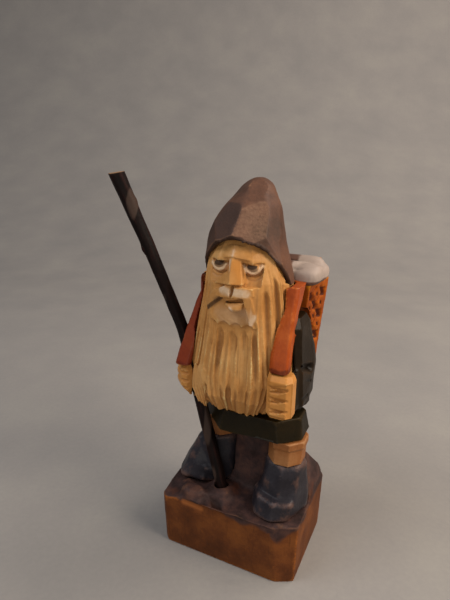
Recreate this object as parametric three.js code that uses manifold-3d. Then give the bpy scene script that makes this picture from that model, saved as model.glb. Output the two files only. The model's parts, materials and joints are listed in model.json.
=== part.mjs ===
// Carved nisse figure: a bearded folk figure with a hooded cap, a pack basket and a twig staff.
// Millimetres, +Z up. The figure faces -Y and +X is its own left.
// The origin is the centre of the base block's underside.

import * as THREE from "three";
import { ConvexGeometry } from "three/addons/geometries/ConvexGeometry.js";
import { mergeVertices } from "three/addons/utils/BufferGeometryUtils.js";
import Module from "manifold-3d";

const wasm = await Module();
wasm.setup();

// Fits between the pieces
const GLUE_GAP = 0.3; // glue line between two pieces
const STAFF_CLEARANCE = 0.35; // round the staff in the fist and in its socket

// Base block
const BASE_WIDTH = 52.6;
const BASE_DEPTH = 38;
const BASE_HEIGHT = 23;
const BASE_FLARE = 0.6; // how far the top edge stands out past the bottom edge
const BASE_CORNER = 2.2; // knife cut down each upright corner
const WIDE_CORNER_ACROSS = 8; // larger cut down the left front corner
const WIDE_CORNER_ALONG = 4.2;
const ROCK_RISE = 4.5; // how far the highest carved rock stands above the block
const ROCK_ROOT = 3; // how far below the block's top the rocks are widest
const LEG_ROCK_RIGHT = 15; // reach of the rock left standing between and behind the legs
const LEG_ROCK_LEFT = 23;
const LEG_ROCK_FRONT = 4;
const LEG_ROCK_BACK = 16;
const LEG_ROCK_CORNER = 4.5;
const LEG_ROCK_SHOULDER = 11; // above the block
const LEG_ROCK_SHOULDER_IN = 5; // how far its sides draw in up to there
const LEG_ROCK_TOP_IN = 8.5; // and up to the hem
const LEG_ROCK_LEAN = 0.7; // share of that for its front and back
const CORNER_DROP = 2.4; // the right front corner is cut down by this much
const CORNER_RUN = 13; // how far that cut runs along the top

// Shoes
const LEFT_LEG_X = 17.2;
const LEFT_LEG_Y = -3.4;
const LEFT_TOE_TURN = -18; // degrees, outwards
const RIGHT_LEG_X = -11.4;
const RIGHT_LEG_Y = 3;
const RIGHT_TOE_TURN = 55;
const SHOE_HEIGHT = 17.6;
const SHOE_WIDTH = 15.2;
const SHOE_CORNER = 4.2; // knife cut on the corners of the sole
const TOE_REACH = 13.4; // from the leg's axis to the toe
const HEEL_REACH = 6.8; // from the leg's axis to the heel
const TOE_HEIGHT = 6.2;
const TOE_SLOPE = 2.2; // how far the toe's front leans back
const INSTEP_BACK = 5; // from the toe to the foot of the instep
const ANKLE_RADIUS = 6.7;

// Stockings and the dowels through the legs
const STOCKING_LENGTH = 9.4;
const CUFF_HEIGHT = 2.6; // folded top of the stocking
const CUFF_RADIUS = 7.4;
const CUFF_FOLD = 0.7; // how far the fold stands out
const LEG_DOWEL_RADIUS = 1.6;
const LEG_DOWEL_SEAT = 5; // how far it goes into the base and into the coat

// Coat
const SKIRT_HEIGHT = 7.6;
const SKIRT_LEFT = 23.2;
const SKIRT_RIGHT = 20.8;
const SKIRT_FRONT = 12.6;
const SKIRT_BACK = 9.5;
const SKIRT_CORNER = 6.5;
const SKIRT_STEP_CORNER = 16; // larger cut over the leg that stands back
const SKIRT_TAPER = 1.4; // how far the waist draws in from the hem
const TORSO_HEIGHT = 44;
const TORSO_WIDTH = 30;
const TORSO_FRONT = 4;
const TORSO_BACK = 4;
const TORSO_EDGE = 1;

// Head and beard
const BEARD_TIP_WIDTH = 27;
const BEARD_TIP_FRONT = 12.8;
const BEARD_ROUND = 6.2; // height of the rounded lower end
const BEARD_SWELL_WIDTH = 34;
const BEARD_FRONT = 15.6;
const BEARD_BELLY_RISE = 13.2; // widest part above the lower end
const BEARD_WIDTH = 37.6;
const CHEEK_RISE = 2.2; // above the shoulder
const CHEEK_WIDTH = 26.4;
const CHEEK_SHIFT = 0.8; // to the left
const CHEEK_FRONT = 13.8;
const BROW_RISE = 9.4;
const BROW_WIDTH = 22;
const BROW_FRONT = 12.2;
const CROWN_RISE = 17.4;
const CROWN_WIDTH = 14;
const CROWN_FRONT = 7.8;
const FACE_FLAT = 0.52; // share of each level's width that its flat front takes
const CHEEK_SLANT = 0.92; // depth of the slanted cheek for each millimetre of its width
const SKULL_WIDTH = 20;
const SKULL_BACK = 4.6;
const SKULL_EDGE = 2;
const STRAND_CUT = 1; // depth of the long cuts between the beard's strands
const STRAND_CUT_WIDTH = 2;
const STRAND_RUN_OUT = 4; // length over which a cut comes up to the surface
const STRAND_DROPS = [21.2, 20.4, 16.5, 7.5, 3.9]; // top of each cut below the brow, from the middle out
const NECK_DOWEL_RADIUS = 2;
const NECK_DOWEL_SEAT = 8;

// Face
const NOSE_LENGTH = 7.6;
const NOSE_BRIDGE = 2.8;
const NOSE_WIDTH = 6.4;
const NOSE_OUT = 3.4; // how far its tip stands out of the brow
const NOSE_TIP = 2.4; // width of the flat tip
const EYE_CUT = 1.6; // depth of the slanted cut below the brow
const EYE_CUT_HEIGHT = 5.2;
const EYE_CUT_WIDTH = 7.6;
const BROW_EDGE = 1; // from the brow's level down to the cut
const EYE_OUT = 5.5; // from the middle
const EYE_DROP = 2.9; // below the brow
const EYE_WIDTH = 4.8;
const EYE_DEPTH = 3;
const EYE_HEIGHT = 3.2;
const MOUSTACHE_DROP = 8; // below the brow
const MOUSTACHE_HEIGHT = 3.2;
const MOUSTACHE_OUT = 2.4; // how far it stands out of the face
const MOUSTACHE_SHOULDER = 4.8; // from the middle to where a lobe turns down
const MOUSTACHE_END = 1.6; // width of a lobe's lower end
const MOUSTACHE_ENDS = [
  { x: -9.2, drop: 16.8 },
  { x: 7.4, drop: 17.6 },
]; // lower end of each lobe, from the middle and below the brow
const MOUTH_SHIFT = 1.2; // to the left
const MOUTH_DROP = 13; // below the brow
const MOUTH_WIDTH = 5.4;
const MOUTH_CUT = 1.6;
const LIP_DROP = 2; // lower lip below the mouth
const LIP_WIDTH = 6;
const LIP_DEPTH = 3.4;
const LIP_HEIGHT = 2.6;

// Cap
const CAP_BRIM_RISE = 0.6; // brim above the shoulder
const CAP_BRIM_WIDTH = 32.2;
const CAP_BRIM_SHIFT = 0.9; // to the left
const CAP_BRIM_DEPTH = 26.8;
const CAP_BAND_RISE = 14.2;
const CAP_BAND_RADIUS = 12.1;
const CAP_SIDE_RISE = 17.8;
const CAP_SIDE_RADIUS = 11.5;
const CAP_TOP_RISE = 24.3;
const CAP_TOP_RADIUS = 9.2;
const CAP_PEAK_RISE = 30.2;
const CAP_PEAK_RADIUS = 5.4;
const CAP_TIP_RISE = 32.4;
const CAP_TIP_RADIUS = 1.8;
const CAP_Y = -4.4; // axis of the brim
const CAP_LEAN_RISE = 9.6; // where the cap starts to lean back
const CAP_LEAN = 0.5; // backward lean for each millimetre above that
const CAP_FACETS = 8;
const OPENING_WIDTH = 27.4;
const OPENING_SHIFT = 0.6; // to the left
const OPENING_RISE = 15.4; // top of the face opening above the shoulder
const OPENING_BACK = -7;
const OPENING_STEPS = 14;

// Sleeves
const SLEEVE_OUT = 22.3;
const SLEEVE_TOP_DROP = 9.2; // below the shoulder
const SLEEVE_TOP_OUT = 20.6;
const SLEEVE_ARCH = 3.4; // height of the rounded shoulder
const LEFT_SLEEVE_FRONT = 7;
const RIGHT_SLEEVE_FRONT = 2; // this arm is held back
const SLEEVE_BACK = 10.6;
const SLEEVE_EDGE = 2.2;
const ELBOW_HEIGHT = 16;
const ELBOW_ROUND = 4;
const ELBOW_TUCK = 1.8; // how far the elbow's underside draws in
const WRIST_INSET = 0.6; // wrist smaller than the fist all round

// Hands
const LEFT_HAND_IN = 12.8;
const LEFT_HAND_OUT = 21.4;
const LEFT_HAND_FRONT = 16.2;
const LEFT_HAND_DEPTH = 6.8;
const LEFT_HAND_TUCK = 1.6; // how far its lower end draws in
const RIGHT_HAND_IN = 16.8;
const RIGHT_HAND_OUT = 24.4;
const RIGHT_HAND_FRONT = 11;
const RIGHT_HAND_DEPTH = 8.5;
const RIGHT_HAND_TUCK = 3.4;
const KNUCKLE_CUT = 3.8; // larger cut on the outer front edge of the right hand
const LEFT_HAND_LIFT = 3.4; // above the waist
const LEFT_HAND_HEIGHT = 15.2;
const RIGHT_HAND_LIFT = 1.2;
const RIGHT_HAND_HEIGHT = 11.8;
const HAND_EDGE = 1.6; // knife cut round the fist
const FINGERS = 4;
const FINGER_CUT = 1.1;

// Straps
const STRAP_THICKNESS = 5.6;
const STRAP_BEND_DROP = 8; // below the shoulder, where the strap turns over it
const STRAP_TOP_RISE = 0.9; // above the shoulder
const STRAP_TOP_IN = 12.8;
const LEFT_STRAP_BOTTOM_OUT = 19.8;
const LEFT_STRAP_BOTTOM_FRONT = 15.2;
const LEFT_STRAP_BEND_OUT = 19;
const LEFT_STRAP_BEND_FRONT = 9;
const LEFT_STRAP_TOP_OUT = 19;
const LEFT_STRAP_TOP_FRONT = 5.6;
const RIGHT_STRAP_BOTTOM_OUT = 22.8;
const RIGHT_STRAP_BOTTOM_FRONT = 12.2;
const RIGHT_STRAP_BEND_OUT = 18.8;
const RIGHT_STRAP_BEND_FRONT = 5.8;
const RIGHT_STRAP_TOP_OUT = 15.4;
const RIGHT_STRAP_TOP_FRONT = 4.2;
const STRAP_EDGE = 1;

// Pack basket
const BASKET_RIM_DROP = 0.6; // rim below the shoulder
const BASKET_HEIGHT = 41;
const BASKET_FRONT_WIDTH = 39.2;
const BASKET_BACK_WIDTH = 44.6;
const BASKET_TAPER = 3.2; // how far each side draws in towards the bottom
const BASKET_BACK = 21.2; // from the figure's middle
const BASKET_CORNER = 2.4;
const WEAVE_PITCH = 8.1; // between crossed cuts of the weave, measured up the wall
const WEAVE_CUT = 1;
const WEAVE_CUT_WIDTH = 1.9;
const WEAVE_BORDER = 2; // plain border round the weave
const BACK_WALL_RISE = 5.8; // back wall above the side rim
const BACK_WALL = 2.2;
const BACK_WALL_TAPER = 1.2;
const BASKET_DOWEL_RADIUS = 1.6;
const BASKET_DOWEL_SEAT = 5;
const BASKET_DOWEL_SPACING = 20;

// Bundle in the basket's mouth
const BUNDLE_PLUG_WIDTH = 33;
const BUNDLE_PLUG_DEPTH = 5;
const BUNDLE_PLUG_FRONT = 7;
const BUNDLE_PLUG_BACK = 17;
const BUNDLE_FRONT_WIDTH = 35;
const BUNDLE_WIDTH = 46;
const BUNDLE_BELLY = 2.8; // height of its widest part above the rim
const BUNDLE_RISE = 6.2;
const BUNDLE_CROWN = 7; // how far its top and its foot draw in
const BUNDLE_CORNER = 4;

// Staff
const STAFF_FOOT_X = -5.74;
const STAFF_FOOT_Y = -8.45;
const STAFF_FOOT_RISE = 2; // where the twig enters the rock, above the block
const STAFF_SOCKET = 4.5; // how far it goes in
const GRIP_INSIDE = 5.7; // from the fist's inner face to the staff's axis
const GRIP_BEHIND = 5; // from the fist's front to the staff's axis
const GRIP_RISE = 12.1; // from the fist's top up to the bend
const STAFF_TOP_OUT = 19.8; // from the bend to the upper end
const STAFF_TOP_FORWARD = 7;
const STAFF_TOP_RISE = 52.6;
const STAFF_BOW = 0.3; // how far the upper part bows in
const STAFF_RADIUS = 2.15;
const STAFF_FOOT_RADIUS = 1.7;
const STAFF_TOP_RADIUS = 2.75;
const STAFF_TOP_SLANT = 0.3; // slope of the cut upper end
const STAFF_SIDES = 10;
const DRAW_ROOM = 18; // length above the bend that is kept clear for drawing it out

// Levels
const seatZ = BASE_HEIGHT + GLUE_GAP;
const ankleZ = seatZ + SHOE_HEIGHT;
const stockingZ = ankleZ + GLUE_GAP;
const cuffZ = stockingZ + STOCKING_LENGTH;
const hemZ = cuffZ + GLUE_GAP;
const waistZ = hemZ + SKIRT_HEIGHT;
const shoulderZ = waistZ + TORSO_HEIGHT;
const beardZ = waistZ + GLUE_GAP;
const elbowZ = waistZ + GLUE_GAP;
const leftHandZ = waistZ + LEFT_HAND_LIFT;
const rightHandZ = waistZ + RIGHT_HAND_LIFT;
const rightHandTopZ = rightHandZ + RIGHT_HAND_HEIGHT;
const browZ = shoulderZ + BROW_RISE;
const rimZ = shoulderZ - BASKET_RIM_DROP;
const basketFront = TORSO_BACK + GLUE_GAP;
const bundleZ = rimZ + GLUE_GAP;

// The two sides of the figure, by its own left and right
const SIDES = [
  {
    name: "left",
    side: 1,
    x: LEFT_LEG_X,
    y: LEFT_LEG_Y,
    turn: LEFT_TOE_TURN,
    sleeveFront: LEFT_SLEEVE_FRONT,
    hand: [LEFT_HAND_IN, LEFT_HAND_OUT],
    handZ: leftHandZ,
    handTopZ: leftHandZ + LEFT_HAND_HEIGHT,
    handFront: -LEFT_HAND_FRONT,
    wrist: -LEFT_HAND_FRONT + LEFT_HAND_DEPTH,
    tuck: LEFT_HAND_TUCK,
    knuckle: HAND_EDGE,
    strapBottom: [LEFT_STRAP_BOTTOM_OUT, LEFT_STRAP_BOTTOM_FRONT],
    strapBend: [LEFT_STRAP_BEND_OUT, LEFT_STRAP_BEND_FRONT],
    strapTop: [LEFT_STRAP_TOP_OUT, LEFT_STRAP_TOP_FRONT],
  },
  {
    name: "right",
    side: -1,
    x: RIGHT_LEG_X,
    y: RIGHT_LEG_Y,
    turn: -RIGHT_TOE_TURN,
    sleeveFront: RIGHT_SLEEVE_FRONT,
    hand: [RIGHT_HAND_IN, RIGHT_HAND_OUT],
    handZ: rightHandZ,
    handTopZ: rightHandTopZ,
    handFront: -RIGHT_HAND_FRONT,
    wrist: -RIGHT_HAND_FRONT + RIGHT_HAND_DEPTH,
    tuck: RIGHT_HAND_TUCK,
    knuckle: KNUCKLE_CUT,
    strapBottom: [RIGHT_STRAP_BOTTOM_OUT, RIGHT_STRAP_BOTTOM_FRONT],
    strapBend: [RIGHT_STRAP_BEND_OUT, RIGHT_STRAP_BEND_FRONT],
    strapTop: [RIGHT_STRAP_TOP_OUT, RIGHT_STRAP_TOP_FRONT],
  },
];

// Building blocks

function point(x, y, z) {
  return new THREE.Vector3(x, y, z);
}

function solidOf(geometry) {
  geometry.deleteAttribute("normal");
  geometry.deleteAttribute("uv");
  const merged = mergeVertices(geometry, 1e-5);
  const mesh = new wasm.Mesh({
    numProp: 3,
    vertProperties: new Float32Array(merged.attributes.position.array),
    triVerts: new Uint32Array(merged.index.array),
  });
  return new wasm.Manifold(mesh);
}

function hull(...rings) {
  return solidOf(new ConvexGeometry(rings.flat()));
}

// Rings of as many points each, from the lowest to the highest, joined by flat knife facets
function loft(...rings) {
  const sides = rings[0].length;
  const triangles = [];
  for (let level = 1; level < rings.length; level += 1) {
    const low = (level - 1) * sides;
    const high = level * sides;
    for (let i = 0; i < sides; i += 1) {
      const next = (i + 1) % sides;
      triangles.push(low + i, low + next, high + next);
      triangles.push(low + i, high + next, high + i);
    }
  }
  const top = (rings.length - 1) * sides;
  for (let i = 2; i < sides; i += 1) {
    triangles.push(0, i, i - 1);
    triangles.push(top, top + i - 1, top + i);
  }
  const geometry = new THREE.BufferGeometry().setFromPoints(rings.flat());
  geometry.setIndex(triangles);
  return solidOf(geometry);
}

// Rectangle in plan with cut corners, the right front one by its own cut
function plan(z, [right, left], [front, back], cut, rightFrontCut = cut) {
  return [
    point(right + rightFrontCut, front, z),
    point(left - cut, front, z),
    point(left, front + cut, z),
    point(left, back - cut, z),
    point(left - cut, back, z),
    point(right + cut, back, z),
    point(right, back - cut, z),
    point(right, front + rightFrontCut, z),
  ];
}

// Span in X of something that lies between two distances from the middle, on one side
function spanOf({ side }, inner, outer) {
  return side > 0 ? [inner, outer] : [-outer, -inner];
}

// Ring in plan, an ellipse where the two radii differ, turned by a share of one facet
function ring(z, x, y, radiusX, radiusY, facets, turn) {
  return Array.from({ length: facets }, (_, i) => {
    const angle = ((i + turn) / facets) * 2 * Math.PI;
    return point(x + radiusX * Math.sin(angle), y - radiusY * Math.cos(angle), z);
  });
}

// Ring square to a direction
function ringAcross(centre, direction, radius, facets) {
  const turn = new THREE.Quaternion().setFromUnitVectors(point(0, 0, 1), direction);
  return ring(0, 0, 0, radius, radius, facets, 0).map((p) => p.applyQuaternion(turn).add(centre));
}

function rod(start, end, radius, facets = 12) {
  const direction = end.clone().sub(start).normalize();
  return loft(ringAcross(start, direction, radius, facets), ringAcross(end, direction, radius, facets));
}

function without(body, ...cutters) {
  return cutters.reduce((rest, cutter) => rest.subtract(cutter), body);
}

// Shapes that neighbours are cut to clear: each can be grown by the gap that is wanted

function shoe(leg, grow) {
  const half = SHOE_WIDTH / 2 + grow;
  const toe = -TOE_REACH - grow;
  const heel = HEEL_REACH + grow;
  const toeTop = seatZ + TOE_HEIGHT + grow;
  const turn = THREE.MathUtils.degToRad(leg.turn);
  const placed = (points) =>
    points.map((p) => p.applyAxisAngle(point(0, 0, 1), turn).add(point(leg.x, leg.y, 0)));
  const sole = plan(seatZ - grow, [-half, half], [toe, heel], SHOE_CORNER);
  const upper = plan(toeTop, [-half, half], [toe + TOE_SLOPE, heel], SHOE_CORNER);
  const instep = plan(toeTop, [-half, half], [toe + INSTEP_BACK, heel], SHOE_CORNER);
  const radius = ANKLE_RADIUS + grow;
  const ankle = ring(ankleZ + grow, 0, 0, radius, radius, 8, 0.5);
  return hull(placed(sole), placed(upper)).add(hull(placed(instep), placed(ankle)));
}

function stocking(leg, grow) {
  const level = (z, radius) => ring(z, leg.x, leg.y, radius + grow, radius + grow, 8, 0.5);
  return loft(
    level(stockingZ - grow, ANKLE_RADIUS),
    level(cuffZ - CUFF_HEIGHT - CUFF_FOLD, CUFF_RADIUS - CUFF_FOLD),
    level(cuffZ - CUFF_HEIGHT, CUFF_RADIUS),
    level(cuffZ + grow, CUFF_RADIUS),
  );
}

function legDowel(leg, grow) {
  const low = point(leg.x, leg.y, seatZ - LEG_DOWEL_SEAT - grow);
  const high = point(leg.x, leg.y, hemZ + LEG_DOWEL_SEAT + grow);
  return rod(low, high, LEG_DOWEL_RADIUS + grow);
}

function torso(grow) {
  const across = [-TORSO_WIDTH / 2 - grow, TORSO_WIDTH / 2 + grow];
  const through = [-TORSO_FRONT - grow, TORSO_BACK + grow];
  const low = plan(waistZ - TORSO_EDGE, across, through, TORSO_EDGE);
  return loft(low, plan(shoulderZ + grow, across, through, TORSO_EDGE));
}

function skirt(grow) {
  const level = (z, inset) =>
    plan(
      z,
      [-SKIRT_RIGHT + inset - grow, SKIRT_LEFT - inset + grow],
      [-SKIRT_FRONT + inset - grow, SKIRT_BACK - inset + grow],
      SKIRT_CORNER,
      SKIRT_STEP_CORNER,
    );
  return loft(level(hemZ - grow, 0), level(waistZ + grow, SKIRT_TAPER));
}

// One level of the head: flat front, slanted cheeks, flat back against the coat
function headLevel(z, width, front, grow, shift = 0) {
  const half = width / 2 + grow;
  const flat = half * FACE_FLAT;
  const forward = -front - grow;
  const backward = -TORSO_FRONT - GLUE_GAP + grow;
  const cheek = Math.min(forward + (half - flat) * CHEEK_SLANT, backward - GLUE_GAP);
  return [
    point(shift - flat, forward, z),
    point(shift + flat, forward, z),
    point(shift + half, cheek, z),
    point(shift + half, backward, z),
    point(shift - half, backward, z),
    point(shift - half, cheek, z),
  ];
}

// Levels of the head, from the beard's lower end to the crown
const HEAD_LEVELS = [
  { z: beardZ, width: BEARD_TIP_WIDTH, front: BEARD_TIP_FRONT, shift: 0 },
  { z: beardZ + BEARD_ROUND, width: BEARD_SWELL_WIDTH, front: BEARD_FRONT, shift: 0 },
  { z: beardZ + BEARD_BELLY_RISE, width: BEARD_WIDTH, front: BEARD_FRONT, shift: 0 },
  { z: shoulderZ + CHEEK_RISE, width: CHEEK_WIDTH, front: CHEEK_FRONT, shift: CHEEK_SHIFT },
  { z: browZ, width: BROW_WIDTH, front: BROW_FRONT, shift: 0 },
  { z: shoulderZ + CROWN_RISE, width: CROWN_WIDTH, front: CROWN_FRONT, shift: 0 },
];

function headBlock(grow) {
  const crown = HEAD_LEVELS.length - 1;
  const crownZ = HEAD_LEVELS[crown].z + grow;
  const beard = loft(
    ...HEAD_LEVELS.map(({ z, width, front, shift }, i) => {
      const end = i === 0 ? -grow : 0;
      return headLevel(i === crown ? crownZ : z + end, width, front, grow, shift);
    }),
  );
  const through = [-TORSO_FRONT - SKULL_EDGE, SKULL_BACK + grow];
  const level = (z, width) =>
    plan(z, [-width / 2 - grow, width / 2 + grow], through, SKULL_EDGE);
  const skull = loft(
    level(shoulderZ + GLUE_GAP - grow, SKULL_WIDTH),
    level(browZ, SKULL_WIDTH),
    level(crownZ, CROWN_WIDTH),
  );
  return beard.add(skull);
}

function neckDowel(grow) {
  const low = point(0, 0, shoulderZ - NECK_DOWEL_SEAT - grow);
  const high = point(0, 0, shoulderZ + NECK_DOWEL_SEAT + grow);
  return rod(low, high, NECK_DOWEL_RADIUS + grow);
}

function faceOpening(grow) {
  const half = OPENING_WIDTH / 2 - grow;
  const outline = [[-half, -OPENING_RISE]];
  for (let i = 0; i <= OPENING_STEPS; i += 1) {
    const angle = (i / OPENING_STEPS) * Math.PI;
    outline.push([-half * Math.cos(angle), (OPENING_RISE - grow) * Math.sin(angle)]);
  }
  outline.push([half, -OPENING_RISE]);
  const at = (y) => outline.map(([x, rise]) => point(OPENING_SHIFT + x, y, shoulderZ + rise));
  return hull(at(CAP_Y - CAP_BRIM_DEPTH), at(OPENING_BACK - grow));
}

function capBlock(grow) {
  const level = (rise, radiusX, radiusY, turn, x = 0) => {
    const y = CAP_Y + CAP_LEAN * Math.max(0, rise - CAP_LEAN_RISE);
    return ring(shoulderZ + rise, x, y, radiusX + grow, radiusY + grow, CAP_FACETS, turn);
  };
  const block = loft(
    level(CAP_BRIM_RISE - grow, CAP_BRIM_WIDTH / 2, CAP_BRIM_DEPTH / 2, 0.5, CAP_BRIM_SHIFT),
    level(CAP_BAND_RISE, CAP_BAND_RADIUS, CAP_BAND_RADIUS, 0.5),
    level(CAP_SIDE_RISE, CAP_SIDE_RADIUS, CAP_SIDE_RADIUS, 0),
    level(CAP_TOP_RISE, CAP_TOP_RADIUS, CAP_TOP_RADIUS, 0),
    level(CAP_PEAK_RISE, CAP_PEAK_RADIUS, CAP_PEAK_RADIUS, 0),
    level(CAP_TIP_RISE + grow, CAP_TIP_RADIUS, CAP_TIP_RADIUS, 0),
  );
  return block.subtract(faceOpening(grow));
}

function sleeve(leg, grow) {
  const inner = TORSO_WIDTH / 2 + GLUE_GAP - grow;
  const level = (z, outer, front, back) =>
    plan(z, spanOf(leg, inner, outer + grow), [-front - grow, back + grow], SLEEVE_EDGE);
  const topZ = shoulderZ - SLEEVE_TOP_DROP + grow;
  const front = leg.sleeveFront;
  const upper = loft(
    level(elbowZ - grow, SLEEVE_OUT - ELBOW_TUCK, front - ELBOW_TUCK, SLEEVE_BACK - ELBOW_ROUND),
    level(elbowZ + ELBOW_ROUND, SLEEVE_OUT, front, SLEEVE_BACK),
    level(elbowZ + ELBOW_HEIGHT, SLEEVE_OUT, front, SLEEVE_BACK),
    level(topZ - SLEEVE_ARCH, SLEEVE_TOP_OUT, front, SLEEVE_BACK - SLEEVE_ARCH / 2),
    level(topZ, SLEEVE_TOP_OUT - SLEEVE_EDGE / 2, front - SLEEVE_ARCH / 2, SLEEVE_BACK - SLEEVE_ARCH * 1.4),
  );
  const [handIn, handOut] = leg.hand;
  const wristSpan = spanOf(leg, handIn + WRIST_INSET - grow, handOut - WRIST_INSET + grow);
  const wristThrough = [leg.wrist + GLUE_GAP - grow, leg.wrist + SLEEVE_EDGE * 2];
  const elbowSpan = spanOf(leg, inner, SLEEVE_OUT + grow);
  const elbowThrough = [0, SLEEVE_EDGE * 2];
  const forearm = hull(
    plan(leg.handZ + WRIST_INSET - grow, wristSpan, wristThrough, WRIST_INSET),
    plan(leg.handTopZ - WRIST_INSET + grow, wristSpan, wristThrough, WRIST_INSET),
    plan(elbowZ + ELBOW_TUCK - grow, elbowSpan, elbowThrough, WRIST_INSET),
    plan(elbowZ + ELBOW_HEIGHT + grow, elbowSpan, elbowThrough, WRIST_INSET),
  );
  return upper.add(forearm);
}

function hand(leg, grow) {
  const [handIn, handOut] = leg.hand;
  const level = (z, inset, front) =>
    plan(
      z,
      spanOf(leg, handIn - grow, handOut - inset + grow),
      [leg.handFront + front - grow, leg.wrist + grow],
      HAND_EDGE,
      leg.knuckle,
    );
  return loft(
    level(leg.handZ - grow, leg.tuck, HAND_EDGE),
    level(leg.handZ + leg.tuck, 0, 0),
    level(leg.handTopZ - HAND_EDGE, 0, 0),
    level(leg.handTopZ + grow, HAND_EDGE / 2, HAND_EDGE),
  );
}

function strap(leg, grow) {
  const level = (z, inner, [outer, front], back) =>
    plan(z, spanOf(leg, inner, outer + grow), [-front - grow, back + grow], STRAP_EDGE);
  const behind = ([, front]) => -front + STRAP_THICKNESS;
  return loft(
    level(leg.handTopZ + GLUE_GAP - grow, leg.hand[0], leg.strapBottom, behind(leg.strapBottom)),
    level(shoulderZ - STRAP_BEND_DROP, STRAP_TOP_IN, leg.strapBend, behind(leg.strapBend)),
    level(shoulderZ + STRAP_TOP_RISE + grow, STRAP_TOP_IN, leg.strapTop, basketFront - GLUE_GAP),
  );
}

// Basket or bundle level: narrower in front than at the back
function packLevel(z, frontWidth, backWidth, [front, back], corner) {
  const frontHalf = frontWidth / 2;
  const backHalf = backWidth / 2;
  return [
    point(-frontHalf, front, z),
    point(frontHalf, front, z),
    point(backHalf, back - corner, z),
    point(backHalf - corner, back, z),
    point(-backHalf + corner, back, z),
    point(-backHalf, back - corner, z),
  ];
}

function bundlePlug(grow) {
  const across = [-BUNDLE_PLUG_WIDTH / 2 - grow, BUNDLE_PLUG_WIDTH / 2 + grow];
  const through = [BUNDLE_PLUG_FRONT - grow, BUNDLE_PLUG_BACK + grow];
  const low = plan(rimZ - BUNDLE_PLUG_DEPTH - grow, across, through, BUNDLE_CORNER);
  return loft(low, plan(bundleZ + BUNDLE_BELLY, across, through, BUNDLE_CORNER));
}

function basketDowel(z, grow) {
  const start = point(0, TORSO_BACK - BASKET_DOWEL_SEAT / 2 - grow, z);
  const end = point(0, TORSO_BACK + GLUE_GAP + BASKET_DOWEL_SEAT + grow, z);
  return rod(start, end, BASKET_DOWEL_RADIUS + grow);
}

const dowelMiddle = waistZ + TORSO_HEIGHT / 2;
const BASKET_DOWELS = [
  { name: "lower_basket_dowel", z: dowelMiddle - BASKET_DOWEL_SPACING / 2 },
  { name: "upper_basket_dowel", z: dowelMiddle + BASKET_DOWEL_SPACING / 2 },
];

// Staff: straight from its socket through the fist, bent above it

const staffFoot = point(STAFF_FOOT_X, STAFF_FOOT_Y, BASE_HEIGHT + STAFF_FOOT_RISE);
const gripX = -RIGHT_HAND_IN - GRIP_INSIDE;
const gripY = -RIGHT_HAND_FRONT + GRIP_BEHIND;
const staffGrip = point(gripX, gripY, rightHandTopZ + GRIP_RISE);
const staffTop = staffGrip.clone().add(point(-STAFF_TOP_OUT, -STAFF_TOP_FORWARD, STAFF_TOP_RISE));
const staffAxis = staffGrip.clone().sub(staffFoot).normalize();

const staffMiddle = staffGrip.clone().lerp(staffTop, 0.5).add(point(STAFF_BOW, 0, 0));
const lowerRun = staffMiddle.clone().sub(staffGrip).normalize();
const upperRun = staffTop.clone().sub(staffMiddle).normalize();

function staffTwig(grow) {
  const bend = staffAxis.clone().add(lowerRun).normalize();
  const bow = lowerRun.clone().add(upperRun).normalize();
  const cut = upperRun.clone().add(point(STAFF_TOP_SLANT, 0, 0)).normalize();
  const foot = staffFoot.clone().addScaledVector(staffAxis, -STAFF_SOCKET - grow);
  const shank = staffFoot.clone().addScaledVector(staffAxis, STAFF_SOCKET);
  const radius = STAFF_RADIUS + grow;
  return loft(
    ringAcross(foot, staffAxis, STAFF_FOOT_RADIUS + grow, STAFF_SIDES),
    ringAcross(shank, staffAxis, radius, STAFF_SIDES),
    ringAcross(staffGrip, bend, radius, STAFF_SIDES),
    ringAcross(staffMiddle, bow, radius, STAFF_SIDES),
    ringAcross(staffTop, cut, STAFF_TOP_RADIUS + grow, STAFF_SIDES),
  );
}

// Room for the staff: its rest place, and what its bent part sweeps when it is drawn out
function staffRoom() {
  const across = (centre) => ringAcross(centre, staffAxis, STAFF_RADIUS + STAFF_CLEARANCE, STAFF_SIDES);
  const swept = hull(
    across(staffGrip.clone().addScaledVector(staffAxis, -RIGHT_HAND_HEIGHT)),
    across(staffGrip.clone().addScaledVector(staffAxis, DRAW_ROOM)),
    across(staffGrip.clone().addScaledVector(lowerRun, DRAW_ROOM)),
  );
  return staffTwig(STAFF_CLEARANCE).add(swept);
}

// Pieces

// Faceted boss round a centre, with its half sizes
function boss(x, y, z, [halfX, halfY, halfZ], turn = 0) {
  const lump = new THREE.IcosahedronGeometry(1, 0);
  lump.rotateZ(turn);
  lump.scale(halfX, halfY, halfZ);
  lump.translate(x, y, z);
  return solidOf(lump);
}

function rock(x, y, radiusX, radiusY, rise, turn) {
  return boss(x, y, BASE_HEIGHT - ROCK_ROOT, [radiusX, radiusY, rise + ROCK_ROOT], turn);
}

// Knife cut that takes the right front corner of the block down
function cornerCut() {
  const left = -BASE_WIDTH / 2;
  const front = -BASE_DEPTH / 2;
  const low = [
    point(left, front, BASE_HEIGHT - CORNER_DROP),
    point(left + CORNER_RUN, front, BASE_HEIGHT),
    point(left, front + CORNER_RUN, BASE_HEIGHT),
  ];
  return hull(low, low.map((p) => point(p.x, p.y, BASE_HEIGHT + ROCK_RISE)));
}

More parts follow.
